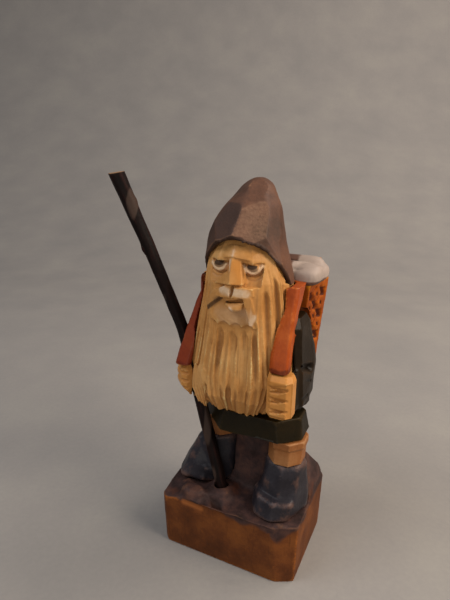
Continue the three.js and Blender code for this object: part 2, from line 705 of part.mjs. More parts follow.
// Larger knife cut down the left front corner of the block
function wideCornerCut() {
  const left = BASE_WIDTH / 2;
  const front = -BASE_DEPTH / 2;
  const outline = [
    [left - WIDE_CORNER_ACROSS * 2, front - WIDE_CORNER_ALONG],
    [left + WIDE_CORNER_ACROSS, front - WIDE_CORNER_ALONG],
    [left + WIDE_CORNER_ACROSS, front + WIDE_CORNER_ALONG * 2],
  ];
  const at = (z) => outline.map(([x, y]) => point(x, y, z));
  return hull(at(-1), at(BASE_HEIGHT + ROCK_RISE * 2));
}

// Rock that the carver left between and behind the legs, up to the coat's hem
function legRock() {
  const level = (z, inset) => {
    const lean = inset * LEG_ROCK_LEAN;
    const across = [-LEG_ROCK_RIGHT + inset, LEG_ROCK_LEFT - inset];
    return plan(z, across, [-LEG_ROCK_FRONT + lean, LEG_ROCK_BACK - lean], LEG_ROCK_CORNER);
  };
  return loft(
    level(BASE_HEIGHT - ROCK_ROOT, 0),
    level(BASE_HEIGHT + LEG_ROCK_SHOULDER, LEG_ROCK_SHOULDER_IN),
    level(hemZ - GLUE_GAP, LEG_ROCK_TOP_IN),
  );
}

function baseBlock() {
  const halfX = BASE_WIDTH / 2;
  const halfY = BASE_DEPTH / 2;
  const level = (z, inset) =>
    plan(z, [-halfX + inset, halfX - inset], [-halfY + inset, halfY - inset], BASE_CORNER);
  const top = level(BASE_HEIGHT, 0);
  const block = loft(level(0, BASE_FLARE), top);
  const rocks = [
    rock(-halfX + 9, -halfY + 6, 9, 6.5, ROCK_RISE * 0.55, 0.3),
    rock(-halfX + 21, -halfY + 10, 9, 10, ROCK_RISE * 0.9, 0.9),
    rock(-halfX + 7, halfY - 10, 9, 10, ROCK_RISE * 1.1, 0.5),
    rock(halfX - 22, halfY - 8, 12, 9, ROCK_RISE, 0.2),
    rock(halfX - 6, halfY - 8, 8, 9, ROCK_RISE * 0.7, 1.2),
    rock(halfX - 9, -halfY + 4, 9, 5, ROCK_RISE * 0.4, 0.7),
  ];
  const footprint = block.add(loft(top, level(BASE_HEIGHT + ROCK_RISE * 2, 0)));
  const rough = rocks.reduce((body, stone) => body.add(stone), block).intersect(footprint);
  const seats = SIDES.flatMap((leg) => [shoe, stocking, legDowel].map((form) => form(leg, GLUE_GAP)));
  return without(rough.add(legRock()), cornerCut(), wideCornerCut(), ...seats, staffRoom());
}

function coat() {
  const dowels = SIDES.map((leg) => legDowel(leg, GLUE_GAP));
  const pegs = BASKET_DOWELS.map(({ z }) => basketDowel(z, GLUE_GAP));
  return without(skirt(0).add(torso(0)), neckDowel(GLUE_GAP), ...dowels, ...pegs, staffRoom());
}

function nose() {
  const tipZ = browZ - NOSE_LENGTH;
  const wing = NOSE_WIDTH / 2;
  const tip = NOSE_TIP / 2;
  return hull([
    point(-NOSE_BRIDGE / 2, -BROW_FRONT, browZ - BROW_EDGE / 2),
    point(NOSE_BRIDGE / 2, -BROW_FRONT, browZ - BROW_EDGE / 2),
    point(0, -BROW_FRONT + NOSE_OUT, browZ),
    point(-wing, -BROW_FRONT, tipZ),
    point(wing, -BROW_FRONT, tipZ),
    point(-wing, -BROW_FRONT + NOSE_OUT, tipZ),
    point(wing, -BROW_FRONT + NOSE_OUT, tipZ),
    point(-tip, -BROW_FRONT - NOSE_OUT, tipZ + BROW_EDGE),
    point(tip, -BROW_FRONT - NOSE_OUT, tipZ + BROW_EDGE),
  ]);
}

// Slanted cut that leaves the brow standing out over the eye
function eyeCut(side) {
  const inner = side * (NOSE_BRIDGE / 2);
  const outer = side * (NOSE_BRIDGE / 2 + EYE_CUT_WIDTH);
  const ahead = -BROW_FRONT - EYE_CUT * 3;
  const top = browZ - BROW_EDGE;
  return hull([
    point(inner, ahead, top),
    point(outer, ahead, top),
    point(inner, -BROW_FRONT + EYE_CUT, top),
    point(outer, -BROW_FRONT + EYE_CUT * 2, top),
    point(inner, ahead, top - EYE_CUT_HEIGHT - EYE_CUT),
    point(outer, ahead, top - EYE_CUT_HEIGHT - EYE_CUT),
  ]);
}

// Measures of the head at any height
function headAt(z) {
  const above = Math.max(1, HEAD_LEVELS.findIndex((level) => level.z >= z));
  const [low, high] = [HEAD_LEVELS[above - 1], HEAD_LEVELS[above]];
  const share = (z - low.z) / (high.z - low.z);
  const between = (key) => THREE.MathUtils.lerp(low[key], high[key], share);
  return { half: between("width") / 2, front: between("front"), shift: between("shift") };
}

// Point over the beard: a share of the way round from its middle line to its side, and a step aside
function beardSpot(z, share, aside, out) {
  const { half, front, shift } = headAt(z);
  const flat = half * FACE_FLAT;
  const slope = Math.hypot(1, CHEEK_SLANT);
  const round = share * (flat + (half - flat) * slope) + aside;
  const side = Math.sign(round);
  const past = Math.max(0, Math.abs(round) - flat) / slope;
  const x = shift + side * (Math.min(Math.abs(round), flat) + past);
  const outward = past > 0 ? point(side * CHEEK_SLANT, -1, 0).normalize() : point(0, -1, 0);
  return point(x, -front + past * CHEEK_SLANT, z).addScaledVector(outward, out);
}

// Long V cut down the beard. Its mouth is twice as wide out in the air as at the surface.
function strandCut(share, top) {
  const full = top - STRAND_RUN_OUT;
  const section = (z, depth) => [
    beardSpot(z, share, -STRAND_CUT_WIDTH, STRAND_CUT),
    beardSpot(z, share, STRAND_CUT_WIDTH, STRAND_CUT),
    beardSpot(z, share, 0, -depth),
  ];
  const bends = HEAD_LEVELS.map(({ z }) => z).filter((z) => z > beardZ && z < full);
  const heights = [beardZ - STRAND_CUT, ...bends, full];
  return loft(...heights.map((z) => section(z, STRAND_CUT)), section(top, -STRAND_CUT / 2));
}

function strandCuts() {
  const half = STRAND_DROPS.length - 1 / 2;
  return STRAND_DROPS.flatMap((drop, i) => {
    const sides = i === 0 ? [0] : [-i, i];
    return sides.map((place) => strandCut(place / half, browZ - drop));
  });
}

// One lobe of the moustache, from under the nose down to its end
function moustacheLobe({ x, drop }) {
  const top = browZ - MOUSTACHE_DROP;
  const low = top - MOUSTACHE_HEIGHT;
  const end = browZ - drop;
  const side = Math.sign(x);
  const face = (at, z, out) => {
    const { half, front, shift } = headAt(z);
    const past = Math.max(0, Math.abs(at - shift) - half * FACE_FLAT);
    return point(at, -front + past * CHEEK_SLANT - out, z);
  };
  const outline = (out) => [
    face(CHEEK_SHIFT / 2, top, out),
    face(CHEEK_SHIFT / 2, low, out),
    face(side * MOUSTACHE_SHOULDER, top - MOUSTACHE_HEIGHT / 4, out / 2),
    face(side * MOUSTACHE_SHOULDER, low, out / 2),
    face(x, end, out / 4),
    face(x - side * MOUSTACHE_END, end + MOUSTACHE_END / 2, out / 4),
  ];
  return hull(outline(MOUSTACHE_OUT), outline(-MOUSTACHE_OUT));
}

function mouthCut() {
  const z = browZ - MOUTH_DROP;
  const ahead = -BEARD_FRONT - MOUSTACHE_OUT;
  const half = MOUTH_WIDTH / 2;
  return hull([
    point(MOUTH_SHIFT - half, ahead, z + MOUTH_CUT / 2),
    point(MOUTH_SHIFT + half, ahead, z + MOUTH_CUT / 2),
    point(MOUTH_SHIFT - half, ahead, z - MOUTH_CUT),
    point(MOUTH_SHIFT + half, ahead, z - MOUTH_CUT),
    point(MOUTH_SHIFT - half / 2, -CHEEK_FRONT + MOUTH_CUT / 2, z),
    point(MOUTH_SHIFT + half / 2, -CHEEK_FRONT + MOUTH_CUT / 2, z),
  ]);
}

function lowerLip() {
  const z = browZ - MOUTH_DROP - LIP_DROP;
  return boss(MOUTH_SHIFT, -headAt(z).front, z, [LIP_WIDTH / 2, LIP_DEPTH / 2, LIP_HEIGHT / 2]);
}

function eye(side) {
  const y = -BROW_FRONT + EYE_CUT / 2;
  return boss(side * EYE_OUT, y, browZ - EYE_DROP, [EYE_WIDTH / 2, EYE_DEPTH / 2, EYE_HEIGHT / 2]);
}

function head() {
  const block = without(headBlock(0), eyeCut(1), eyeCut(-1), ...strandCuts());
  const lobes = MOUSTACHE_ENDS.map(moustacheLobe);
  const face = without([nose(), ...lobes].reduce((sum, form) => sum.add(form), block), mouthCut());
  const carved = [lowerLip(), eye(1), eye(-1)].reduce((sum, form) => sum.add(form), face);
  return without(carved, neckDowel(GLUE_GAP), staffRoom());
}

function cap() {
  return without(capBlock(0), headBlock(GLUE_GAP), torso(GLUE_GAP));
}

function fist(leg) {
  const step = (leg.handTopZ - leg.handZ) / FINGERS;
  const grooves = [];
  for (let i = 1; i < FINGERS; i += 1) {
    const z = leg.handZ + step * i;
    const ends = spanOf(leg, leg.hand[0] - 1, leg.hand[1] + 1);
    grooves.push(
      hull(
        ends.flatMap((x) => [
          point(x, leg.handFront - FINGER_CUT, z + FINGER_CUT),
          point(x, leg.handFront - FINGER_CUT, z - FINGER_CUT),
          point(x, leg.handFront + FINGER_CUT, z),
        ]),
      ),
    );
  }
  return without(hand(leg, 0), headBlock(GLUE_GAP), ...grooves, staffRoom());
}

function arm(leg) {
  return without(sleeve(leg, 0), headBlock(GLUE_GAP), torso(GLUE_GAP), staffRoom());
}

function shoulderStrap(leg) {
  return without(
    strap(leg, 0),
    headBlock(GLUE_GAP),
    torso(GLUE_GAP),
    sleeve(leg, GLUE_GAP),
    capBlock(GLUE_GAP),
    staffRoom(),
  );
}

// Half the basket's width at a place on its side wall
function basketHalf(y, z) {
  const through = (y - basketFront) / (BASKET_BACK - BASKET_CORNER - basketFront);
  const drawnIn = (BASKET_TAPER * (rimZ - z)) / BASKET_HEIGHT;
  return THREE.MathUtils.lerp(BASKET_FRONT_WIDTH, BASKET_BACK_WIDTH, through) / 2 - drawnIn;
}

// Woven walls: the span of each, and a point over it from its run, its height and how far it stands out
const sideSpan = [basketFront, BASKET_BACK - BASKET_CORNER];
const backHalf = BASKET_BACK_WIDTH / 2 - BASKET_CORNER - BASKET_TAPER;
const BASKET_WALLS = [
  { span: sideSpan, spot: (run, z, out) => point(basketHalf(run, z) + out, run, z) },
  { span: sideSpan, spot: (run, z, out) => point(-basketHalf(run, z) - out, run, z) },
  { span: [-backHalf, backHalf], spot: (run, z, out) => point(run, BASKET_BACK + out, z) },
];

// Crossed V cuts over one wall, those that fall towards the end of its run (way 1) or rise (way -1)
function weaveCuts({ span, spot }, way) {
  const runs = [span[0] + WEAVE_BORDER, span[1] - WEAVE_BORDER];
  const heights = [rimZ - BASKET_HEIGHT + WEAVE_BORDER, rimZ - WEAVE_BORDER];
  const aside = WEAVE_CUT_WIDTH * Math.SQRT1_2;
  const section = (run, z) => [
    spot(run, z, -WEAVE_CUT),
    spot(run - aside * way, z - aside, WEAVE_CUT),
    spot(run + aside * way, z + aside, WEAVE_CUT),
  ];
  const middle = (runs[0] + runs[1]) / 2;
  const lowest = heights[0] - (runs[1] - middle);
  const highest = heights[1] + (runs[1] - middle);
  const cuts = [];
  for (let z = highest - WEAVE_PITCH / 2; z > lowest; z -= WEAVE_PITCH) {
    const ends = heights.map((height) => middle + way * (z - height));
    const low = Math.max(runs[0], Math.min(...ends));
    const high = Math.min(runs[1], Math.max(...ends));
    if (high - low > WEAVE_PITCH / 4) {
      const at = (run) => section(run, z - way * (run - middle));
      cuts.push(hull(at(low), at(high)));
    }
  }
  return cuts;
}

function basket() {
  const level = (z, inset) =>
    packLevel(
      z,
      BASKET_FRONT_WIDTH - inset * 2,
      BASKET_BACK_WIDTH - inset * 2,
      [basketFront, BASKET_BACK],
      BASKET_CORNER,
    );
  const body = loft(level(rimZ - BASKET_HEIGHT, BASKET_TAPER), level(rimZ, 0));
  const half = BASKET_BACK_WIDTH / 2 - BASKET_CORNER;
  const through = [BASKET_BACK - BACK_WALL, BASKET_BACK];
  const wall = loft(
    plan(rimZ - BACK_WALL, [-half, half], through, BACK_WALL / 4),
    plan(rimZ + BACK_WALL_RISE, [-half + BACK_WALL_TAPER, half - BACK_WALL_TAPER], through, BACK_WALL / 4),
  );
  const arms = SIDES.flatMap((leg) => [sleeve(leg, GLUE_GAP), strap(leg, GLUE_GAP)]);
  const pegs = BASKET_DOWELS.map(({ z }) => basketDowel(z, GLUE_GAP));
  const weave = BASKET_WALLS.flatMap((side) => [...weaveCuts(side, 1), ...weaveCuts(side, -1)]);
  return without(
    body.add(wall),
    ...weave,
    torso(GLUE_GAP),
    skirt(GLUE_GAP),
    headBlock(GLUE_GAP),
    capBlock(GLUE_GAP),
    bundlePlug(GLUE_GAP),
    ...arms,
    ...pegs,
  );
}

function bundle() {
  const back = BASKET_BACK - BACK_WALL - GLUE_GAP;
  const level = (z, inset, backInset) =>
    packLevel(
      z,
      BUNDLE_FRONT_WIDTH - inset * 2,
      BUNDLE_WIDTH - inset * 2,
      [basketFront, back - backInset],
      BUNDLE_CORNER,
    );
  const sack = loft(
    level(bundleZ, BUNDLE_CROWN / 4, 0),
    level(bundleZ + BUNDLE_BELLY, 0, 0),
    level(bundleZ + BUNDLE_RISE, BUNDLE_CROWN, BUNDLE_CORNER),
  );
  const straps = SIDES.map((leg) => strap(leg, GLUE_GAP));
  return without(
    bundlePlug(0).add(sack),
    capBlock(GLUE_GAP),
    headBlock(GLUE_GAP),
    torso(GLUE_GAP),
    ...straps,
  );
}

// Paints and woods
const PAINTS = {
  bareWood: { color: 0xcfa368, roughness: 0.5 },
  capBrown: { color: 0x55423c, roughness: 0.45 },
  coatGreen: { color: 0x2c2d25, roughness: 0.5 },
  sleeveGrey: { color: 0x3b3c34, roughness: 0.5 },
  strapRed: { color: 0xa04c2c, roughness: 0.5 },
  basketOrange: { color: 0xb0642a, roughness: 0.5 },
  sackGrey: { color: 0xb3a5a1, roughness: 0.55 },
  stockingCream: { color: 0xc99b64, roughness: 0.5 },
  shoeSlate: { color: 0x2f2e31, roughness: 0.45 },
  rockBrown: { color: 0x5a3826, roughness: 0.6 },
  barkBlack: { color: 0x211916, roughness: 0.7 },
  dowelBeech: { color: 0xd2b184, roughness: 0.7 },
};

const figure = new THREE.Group();

function addPiece(name, body, { color, roughness }) {
  const { vertProperties, triVerts } = body.getMesh();
  const geometry = new THREE.BufferGeometry();
  geometry.setAttribute("position", new THREE.BufferAttribute(vertProperties, 3));
  geometry.setIndex(new THREE.BufferAttribute(triVerts, 1));
  const piece = new THREE.Mesh(geometry, new THREE.MeshStandardMaterial({ color, roughness, metalness: 0 }));
  piece.name = name;
  figure.add(piece);
}

addPiece("base_block", baseBlock(), PAINTS.rockBrown);
for (const leg of SIDES) {
  addPiece(`${leg.name}_leg_dowel`, legDowel(leg, 0), PAINTS.dowelBeech);
  addPiece(`${leg.name}_shoe`, without(shoe(leg, 0), legDowel(leg, GLUE_GAP)), PAINTS.shoeSlate);
  addPiece(`${leg.name}_stocking`, without(stocking(leg, 0), legDowel(leg, GLUE_GAP)), PAINTS.stockingCream);
}
addPiece("coat", coat(), PAINTS.coatGreen);
addPiece("neck_dowel", neckDowel(0), PAINTS.dowelBeech);
addPiece("head_and_beard", head(), PAINTS.bareWood);
addPiece("cap", cap(), PAINTS.capBrown);
for (const leg of SIDES) {
  addPiece(`${leg.name}_sleeve`, arm(leg), PAINTS.sleeveGrey);
  addPiece(`${leg.name}_hand`, fist(leg), PAINTS.bareWood);
  addPiece(`${leg.name}_strap`, shoulderStrap(leg), PAINTS.strapRed);
}
addPiece("basket", basket(), PAINTS.basketOrange);
for (const { name, z } of BASKET_DOWELS) {
  addPiece(name, basketDowel(z, 0), PAINTS.dowelBeech);
}
addPiece("bundle", bundle(), PAINTS.sackGrey);
addPiece("staff", staffTwig(0), PAINTS.barkBlack);

export default figure;
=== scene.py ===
"""Looks of the carved nisse figure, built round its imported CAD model."""
import json
import math

import bmesh
import bpy
import numpy as np
from mathutils import Matrix, Vector

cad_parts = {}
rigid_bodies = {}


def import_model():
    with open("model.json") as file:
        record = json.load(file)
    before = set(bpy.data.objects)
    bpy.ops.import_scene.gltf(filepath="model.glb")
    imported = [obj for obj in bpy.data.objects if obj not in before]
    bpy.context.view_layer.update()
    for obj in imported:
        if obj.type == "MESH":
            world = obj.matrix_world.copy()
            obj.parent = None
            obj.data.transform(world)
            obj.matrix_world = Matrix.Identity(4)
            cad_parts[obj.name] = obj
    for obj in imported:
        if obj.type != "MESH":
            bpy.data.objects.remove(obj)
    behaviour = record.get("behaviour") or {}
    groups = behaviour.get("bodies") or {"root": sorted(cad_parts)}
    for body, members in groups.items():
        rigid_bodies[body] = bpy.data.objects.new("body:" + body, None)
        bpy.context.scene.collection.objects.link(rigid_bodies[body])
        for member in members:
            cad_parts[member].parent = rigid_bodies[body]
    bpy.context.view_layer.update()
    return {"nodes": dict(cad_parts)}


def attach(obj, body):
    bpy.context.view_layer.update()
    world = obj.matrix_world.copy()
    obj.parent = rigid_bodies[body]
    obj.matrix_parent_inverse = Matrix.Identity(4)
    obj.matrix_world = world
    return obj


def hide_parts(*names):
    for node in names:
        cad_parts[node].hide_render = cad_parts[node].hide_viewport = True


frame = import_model()

FIGURE = "figure"
TWIG = "twig_staff"
MM = 0.001

# Points of a CAD mesh nearer than this, in millimetres, are joined
WELD = 0.002
# Most points tried when a surface is divided into knife cuts
MOST_TRIED = 9000
# How far off its own plane, in millimetres, a chip still marks the surface
CHIP_REACH = 3
# Unevenness of the knife cuts in millimetres, and the percentile of height that they leave untouched
CUT_UNEVENNESS = 0.05
UNCUT_LEVEL = 92
# Rounds of averaging that show where a surface bends, rounds that soften the result, and a full bend
BEND_ROUNDS = 14
BEND_SOFTENING = 2
FULL_BEND = 0.30
# Shader numbers that all finishes share
BUMP_STRENGTH = 0.5
COAT_ROUGHNESS = 0.3
SPECULAR_LEVEL = 0.14


# Solids for cutting and adding, in millimetres

def mesh_of(bm, name):
    """Mesh from a bmesh, which is then freed."""
    mesh = bpy.data.meshes.new(name)
    bm.to_mesh(mesh)
    bm.free()
    return mesh


def hull(*points):
    """Convex solid round the points."""
    bm = bmesh.new()
    for p in points:
        bm.verts.new(p)
    made = bmesh.ops.convex_hull(bm, input=bm.verts)
    inside = made["geom_interior"] + made["geom_unused"]
    spare = {e for e in inside if isinstance(e, bmesh.types.BMVert)}
    bmesh.ops.delete(bm, geom=list(spare), context="VERTS")
    bmesh.ops.recalc_face_normals(bm, faces=bm.faces)
    return mesh_of(bm, "hull")


def ball(centre, halves):
    """Egg-shaped solid."""
    bm = bmesh.new()
    bmesh.ops.create_icosphere(bm, subdivisions=3, radius=1)
    bmesh.ops.scale(bm, vec=halves, verts=bm.verts)
    bmesh.ops.translate(bm, vec=centre, verts=bm.verts)
    return mesh_of(bm, "ball")


def mirrored(points, side):
    """The points themselves for side 1, or their mirror image for side -1."""
    return [(side * x, y, z) for x, y, z in points]


# Marks on a worked surface

def fade(x, low, high):
    """0 below low, 1 above high, smooth between; also the other way round."""
    t = np.clip((x - low) / (high - low), 0, 1)
    return t * t * (3 - 2 * t)


def from_path(v, path):
    """Distance of each point from a path."""
    best = np.full(len(v), 1e9)
    for a, b in zip(path, path[1:]):
        a, b = np.array(a, float), np.array(b, float)
        run = b - a
        t = np.clip((v - a) @ run / (run @ run), 0, 1)
        best = np.minimum(best, np.linalg.norm(v - a - t[:, None] * run, axis=1))
    return best


def vee(v, path, half_width):
    """Section of a V cut: 1 along the path, 0 at its edges."""
    return np.clip(1 - from_path(v, path) / half_width, 0, 1)


def lozenge(v, centre, along, across, half_along, half_across):
    """Chip with pointed ends along and across: 1 in its middle, 0 at its edge."""
    d = v - np.array(centre, float)
    along, across = np.array(along, float), np.array(across, float)
    a = np.abs(d @ along) / half_along
    b = np.abs(d @ across) / half_across
    off = np.abs(d @ np.cross(along, across))
    return np.clip(1 - a - b, 0, 1) * (off < CHIP_REACH)


def spread(v, gap, rng):
    """Points picked from v, at least gap apart."""
    order = rng.permutation(len(v))[:MOST_TRIED]
    picked = v[order]
    free = np.ones(len(order), bool)
    kept = []
    for i in range(len(order)):
        if free[i]:
            kept.append(order[i])
            free &= ((picked - picked[i]) ** 2).sum(1) > gap * gap
    return kept


def ripple(v, scale, seed, waves=7):
    """Soft uneven field, about -1 to 1, that varies over the given length."""
    rng = np.random.default_rng(seed)
    total = np.zeros(len(v))
    for _ in range(waves):
        k = rng.normal(size=3)
        k *= 2 * math.pi / (scale * rng.uniform(0.7, 1.5)) / np.linalg.norm(k)
        total += np.sin(v @ k + rng.uniform(0, 2 * math.pi))
    return total / math.sqrt(waves)


class Carving:
    """A piece under the knife: its CAD solid, cut and added to, surfaced, then worked point by point.

    v and n hold its points and normals, masks a value a point for each mark that its finish reads.
    """

    def __init__(self, node):
        self.node = node
        mesh = frame["nodes"][node].data.copy()
        mesh.transform(Matrix.Scale(1 / MM, 4))
        bm = bmesh.new()
        bm.from_mesh(mesh)
        bmesh.ops.remove_doubles(bm, verts=bm.verts, dist=WELD)
        bm.to_mesh(mesh)
        bm.free()
        mesh.materials.clear()
        self.block = bpy.data.objects.new(node + "_block", mesh)
        bpy.context.scene.collection.objects.link(self.block)
        self.masks = {}

    def bake(self):
        """Applies the modifiers."""
        graph = bpy.context.evaluated_depsgraph_get()
        mesh = bpy.data.meshes.new_from_object(self.block.evaluated_get(graph))
        self.block.modifiers.clear()
        self.block.data = mesh

    def work(self, operation, solids):
        """One Boolean with all the solids."""
        tools = bpy.data.collections.new("tools")
        for solid in solids:
            tools.objects.link(bpy.data.objects.new("tool", solid))
        step = self.block.modifiers.new("step", "BOOLEAN")
        step.operation = operation
        step.solver = "MANIFOLD"
        step.operand_type = "COLLECTION"
        step.collection = tools
        self.bake()
        for tool in list(tools.objects):
            bpy.data.objects.remove(tool)
        bpy.data.collections.remove(tools)

    def add(self, *solids):
        self.work("UNION", solids)

    def cut(self, *solids):
        self.work("DIFFERENCE", solids)

    def surface(self, grid, rounding):
        """Even fine mesh over the piece, with its edges rounded a little."""
        skin = self.block.modifiers.new("skin", "REMESH")
        skin.mode = "VOXEL"
        skin.voxel_size = grid
        relax = self.block.modifiers.new("relax", "SMOOTH")
        relax.factor = 0.5
        relax.iterations = rounding
        self.bake()
        mesh = self.block.data
        ends = np.empty(len(mesh.edges) * 2, np.int32)
        mesh.edges.foreach_get("vertices", ends)
        self.edges = ends.reshape(-1, 2)
        self.count = np.maximum(np.bincount(ends, minlength=len(mesh.vertices)), 1)
        self.read()

    def column(self, name):
        """Positions or normals of all points."""
        points = self.block.data.vertices
        flat = np.empty(len(points) * 3, np.float32)
        points.foreach_get(name, flat)
        return flat.reshape(-1, 3).astype(float)

    def read(self):
        self.v = self.column("co")
        self.n = self.column("normal")

    def write(self):
        self.block.data.vertices.foreach_set("co", self.v.astype(np.float32).ravel())
        self.block.data.update()
        self.read()

    def move(self, amount, direction=None):
        """Moves each point outwards by its amount, or along one direction."""
        way = self.n if direction is None else np.array(direction, float)
        self.v = self.v + np.asarray(amount)[:, None] * way
        self.write()

    def blurred(self, field, times):
        """A value or position a point, averaged with its neighbours."""
        field = np.array(field, float)
        flat = field.reshape(len(self.v), -1)
        a, b = self.edges.T
        size = len(self.v)
        for _ in range(times):
            mixed = np.empty_like(flat)
            for c, values in enumerate(flat.T):
                total = np.bincount(a, values[b], size) + np.bincount(b, values[a], size)
                mixed[:, c] = 0.5 * values + 0.5 * total / self.count
            flat = mixed
        return flat.reshape(field.shape)

    def relax(self, times):
        self.v = self.blurred(self.v, times)
        self.write()

    def knife(self, seed, spacing, tilt, sag, where=1.0):
        """Works the surface over with flat knife cuts, each a little tilted; sag makes them hollow."""
        rng = np.random.default_rng(seed)
        height = np.full(len(self.v), 1e9)
        for i in spread(self.v, spacing, rng):
            lean = rng.normal(size=3)
            lean -= (lean @ self.n[i]) * self.n[i]
            d = self.v - self.v[i]
            cut = d @ (lean * tilt) + sag * (d * d).sum(1) + rng.normal() * CUT_UNEVENNESS
            height = np.minimum(height, cut)
        depth = np.clip(np.percentile(height, UNCUT_LEVEL) - height, 0, None)
        self.move(-depth * where)

    def facet(self, facing, depth, where=1.0):
        """One flat knife cut, where the surface faces that way most."""
        way = np.array(facing, float)
        way /= np.linalg.norm(way)
        reach = self.v @ way
        self.move(-np.clip(reach - (reach.max() - depth), 0, None) * where, way)

    def score(self, path, half_width, depth, mask="groove"):
        """One V cut along a path, kept as a mask too."""
        section = vee(self.v, path, half_width)
        self.mark(mask, section)
        self.move(-depth * section)

    def mark(self, name, field):
        """Adds a field to a mask; the higher value holds."""
        self.masks[name] = np.maximum(self.masks.get(name, 0), field)

    def finish(self, slot, keep):
        """Turns the worked block into a piece of the figure, in metres, with that share of its faces."""
        bent = ((self.v - self.blurred(self.v, BEND_ROUNDS)) * self.n).sum(1)
        bent = self.blurred(bent, BEND_SOFTENING)
        self.masks["ridge"] = np.clip(bent / FULL_BEND, 0, 1)
        self.masks["hollow"] = np.clip(-bent / FULL_BEND, 0, 1)
        store_masks(self.block.data, self.masks)
        thin = self.block.modifiers.new("thin", "DECIMATE")
        thin.ratio = keep
        self.bake()
        self.block.data.transform(Matrix.Scale(MM, 4))
        self.block.data.shade_smooth()
        placed(self.block, self.node, slot, FIGURE)


def store_masks(mesh, masks):
    """Keeps a value a point for each mask, where the finishes read it."""
    for name, field in masks.items():
        store = mesh.attributes.new(name, "FLOAT", "POINT")
        store.data.foreach_set("value", field.astype(np.float32))


def placed(obj, node, slot, body):
    """Names the piece, paints it and lets it stand for its CAD node."""
    obj.name = node + "_carved"
    obj.data.name = obj.name
    obj.data.materials.clear()
    obj.data.materials.append(PAINTS[slot])
    obj.data.polygons.foreach_set("material_index", np.zeros(len(obj.data.polygons), np.int32))
    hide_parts(node)
    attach(obj, body)


# Finishes

class Tone:
    """A value in a finish; arithmetic on it adds Math nodes."""

    def __init__(self, finish, socket):
        self.finish = finish
        self.socket = socket

    def __add__(self, other):
        return self.finish.math("ADD", self, other)

    def __mul__(self, other):
        return self.finish.math("MULTIPLY", self, other)

    def __sub__(self, other):
        return self.finish.math("SUBTRACT", self, other)

    def __rsub__(self, other):
        return self.finish.math("SUBTRACT", other, self)

    def __pow__(self, other):
        return self.finish.math("POWER", self, other)

    __radd__ = __add__
    __rmul__ = __mul__

    def step(self, low, high):
        """0 below low, 1 above high, smooth between."""
        return self.finish.node(
            "ShaderNodeMapRange", {"interpolation_type": "SMOOTHSTEP"},
            {"Value": self, "From Min": low, "From Max": high}, "Result")


def linear(code):
    """Linear colour from a six-digit code."""
    parts = [int(code[i:i + 2], 16) / 255 for i in (0, 2, 4)]
    return [p / 12.92 if p <= 0.04045 else ((p + 0.055) / 1.055) ** 2.4 for p in parts] + [1]


class Finish:
    """One paint, stain or bare surface, made of nodes."""

    def __init__(self, name):
        self.material = bpy.data.materials.new(name)
        self.material.use_nodes = True
        self.tree = self.material.node_tree
        self.shader = self.tree.nodes["Principled BSDF"]
        spot = self.node("ShaderNodeTexCoord", {}, {}, "Object")
        self.place = self.node(
            "ShaderNodeVectorMath", {"operation": "SCALE"}, {0: spot, "Scale": 1 / MM}, "Vector")

    def node(self, kind, settings, sockets, output):
        """Adds a node: its settings first, then the values or links of its sockets."""
        made = self.tree.nodes.new(kind)
        for name, value in settings.items():
            if name == "stops":
                ramp = made.color_ramp
                while len(ramp.elements) < len(value):
                    ramp.elements.new(0.5)
                for element, (at, code) in zip(ramp.elements, value):
                    element.position = at
                    element.color = linear(code)
            else:
                setattr(made, name, value)
        for name, value in sockets.items():
            self.feed(made.inputs[name], value)
        return Tone(self, made.outputs[output])

    def feed(self, socket, value):
        """Links a tone to a socket, or sets it to a colour code, number or vector."""
        if isinstance(value, Tone):
            self.tree.links.new(value.socket, socket)
        elif isinstance(value, str):
            socket.default_value = linear(value)
        else:
            socket.default_value = value

    def math(self, operation, a, b):
        return self.node("ShaderNodeMath", {"operation": operation}, {0: a, 1: b}, 0)

    def mix(self, share, a, b):
        """Colours a and b, by share of b."""
        return self.node(
            "ShaderNodeMix", {"data_type": "RGBA", "clamp_factor": True}, {0: share, 6: a, 7: b}, 2)

    def noise(self, scale, detail, shift, stretch=(1, 1, 1), rough=0.55):
        """Cloudy field, 0 to 1; scale is in clouds a millimetre."""
        moved = self.node(
            "ShaderNodeVectorMath", {"operation": "MULTIPLY_ADD"},
            {0: self.place, 1: stretch, 2: (shift, shift * 0.7, -shift)}, "Vector")
        return self.node(
            "ShaderNodeTexNoise", {},
            {"Vector": moved, "Scale": scale, "Detail": detail, "Roughness": rough}, "Fac")

    def mask(self, name):
        return self.node("ShaderNodeAttribute", {"attribute_name": name}, {}, "Fac")

    def ramp(self, share, *stops):
        return self.node("ShaderNodeValToRGB", {"stops": stops}, {"Fac": share}, "Color")

    def done(self, colour, roughness, height, lift, coat):
        """The material, with bumps of the given height field and lift in millimetres."""
        self.feed(self.shader.inputs["Base Color"], colour)
        self.feed(self.shader.inputs["Roughness"], roughness)
        bump = self.node(
            "ShaderNodeBump", {},
            {"Strength": BUMP_STRENGTH, "Distance": lift * MM, "Height": height}, "Normal")
        self.feed(self.shader.inputs["Normal"], bump)
        self.shader.inputs["Coat Weight"].default_value = coat
        self.shader.inputs["Coat Roughness"].default_value = COAT_ROUGHNESS
        self.shader.inputs["Specular IOR Level"].default_value = SPECULAR_LEVEL
        return self.material


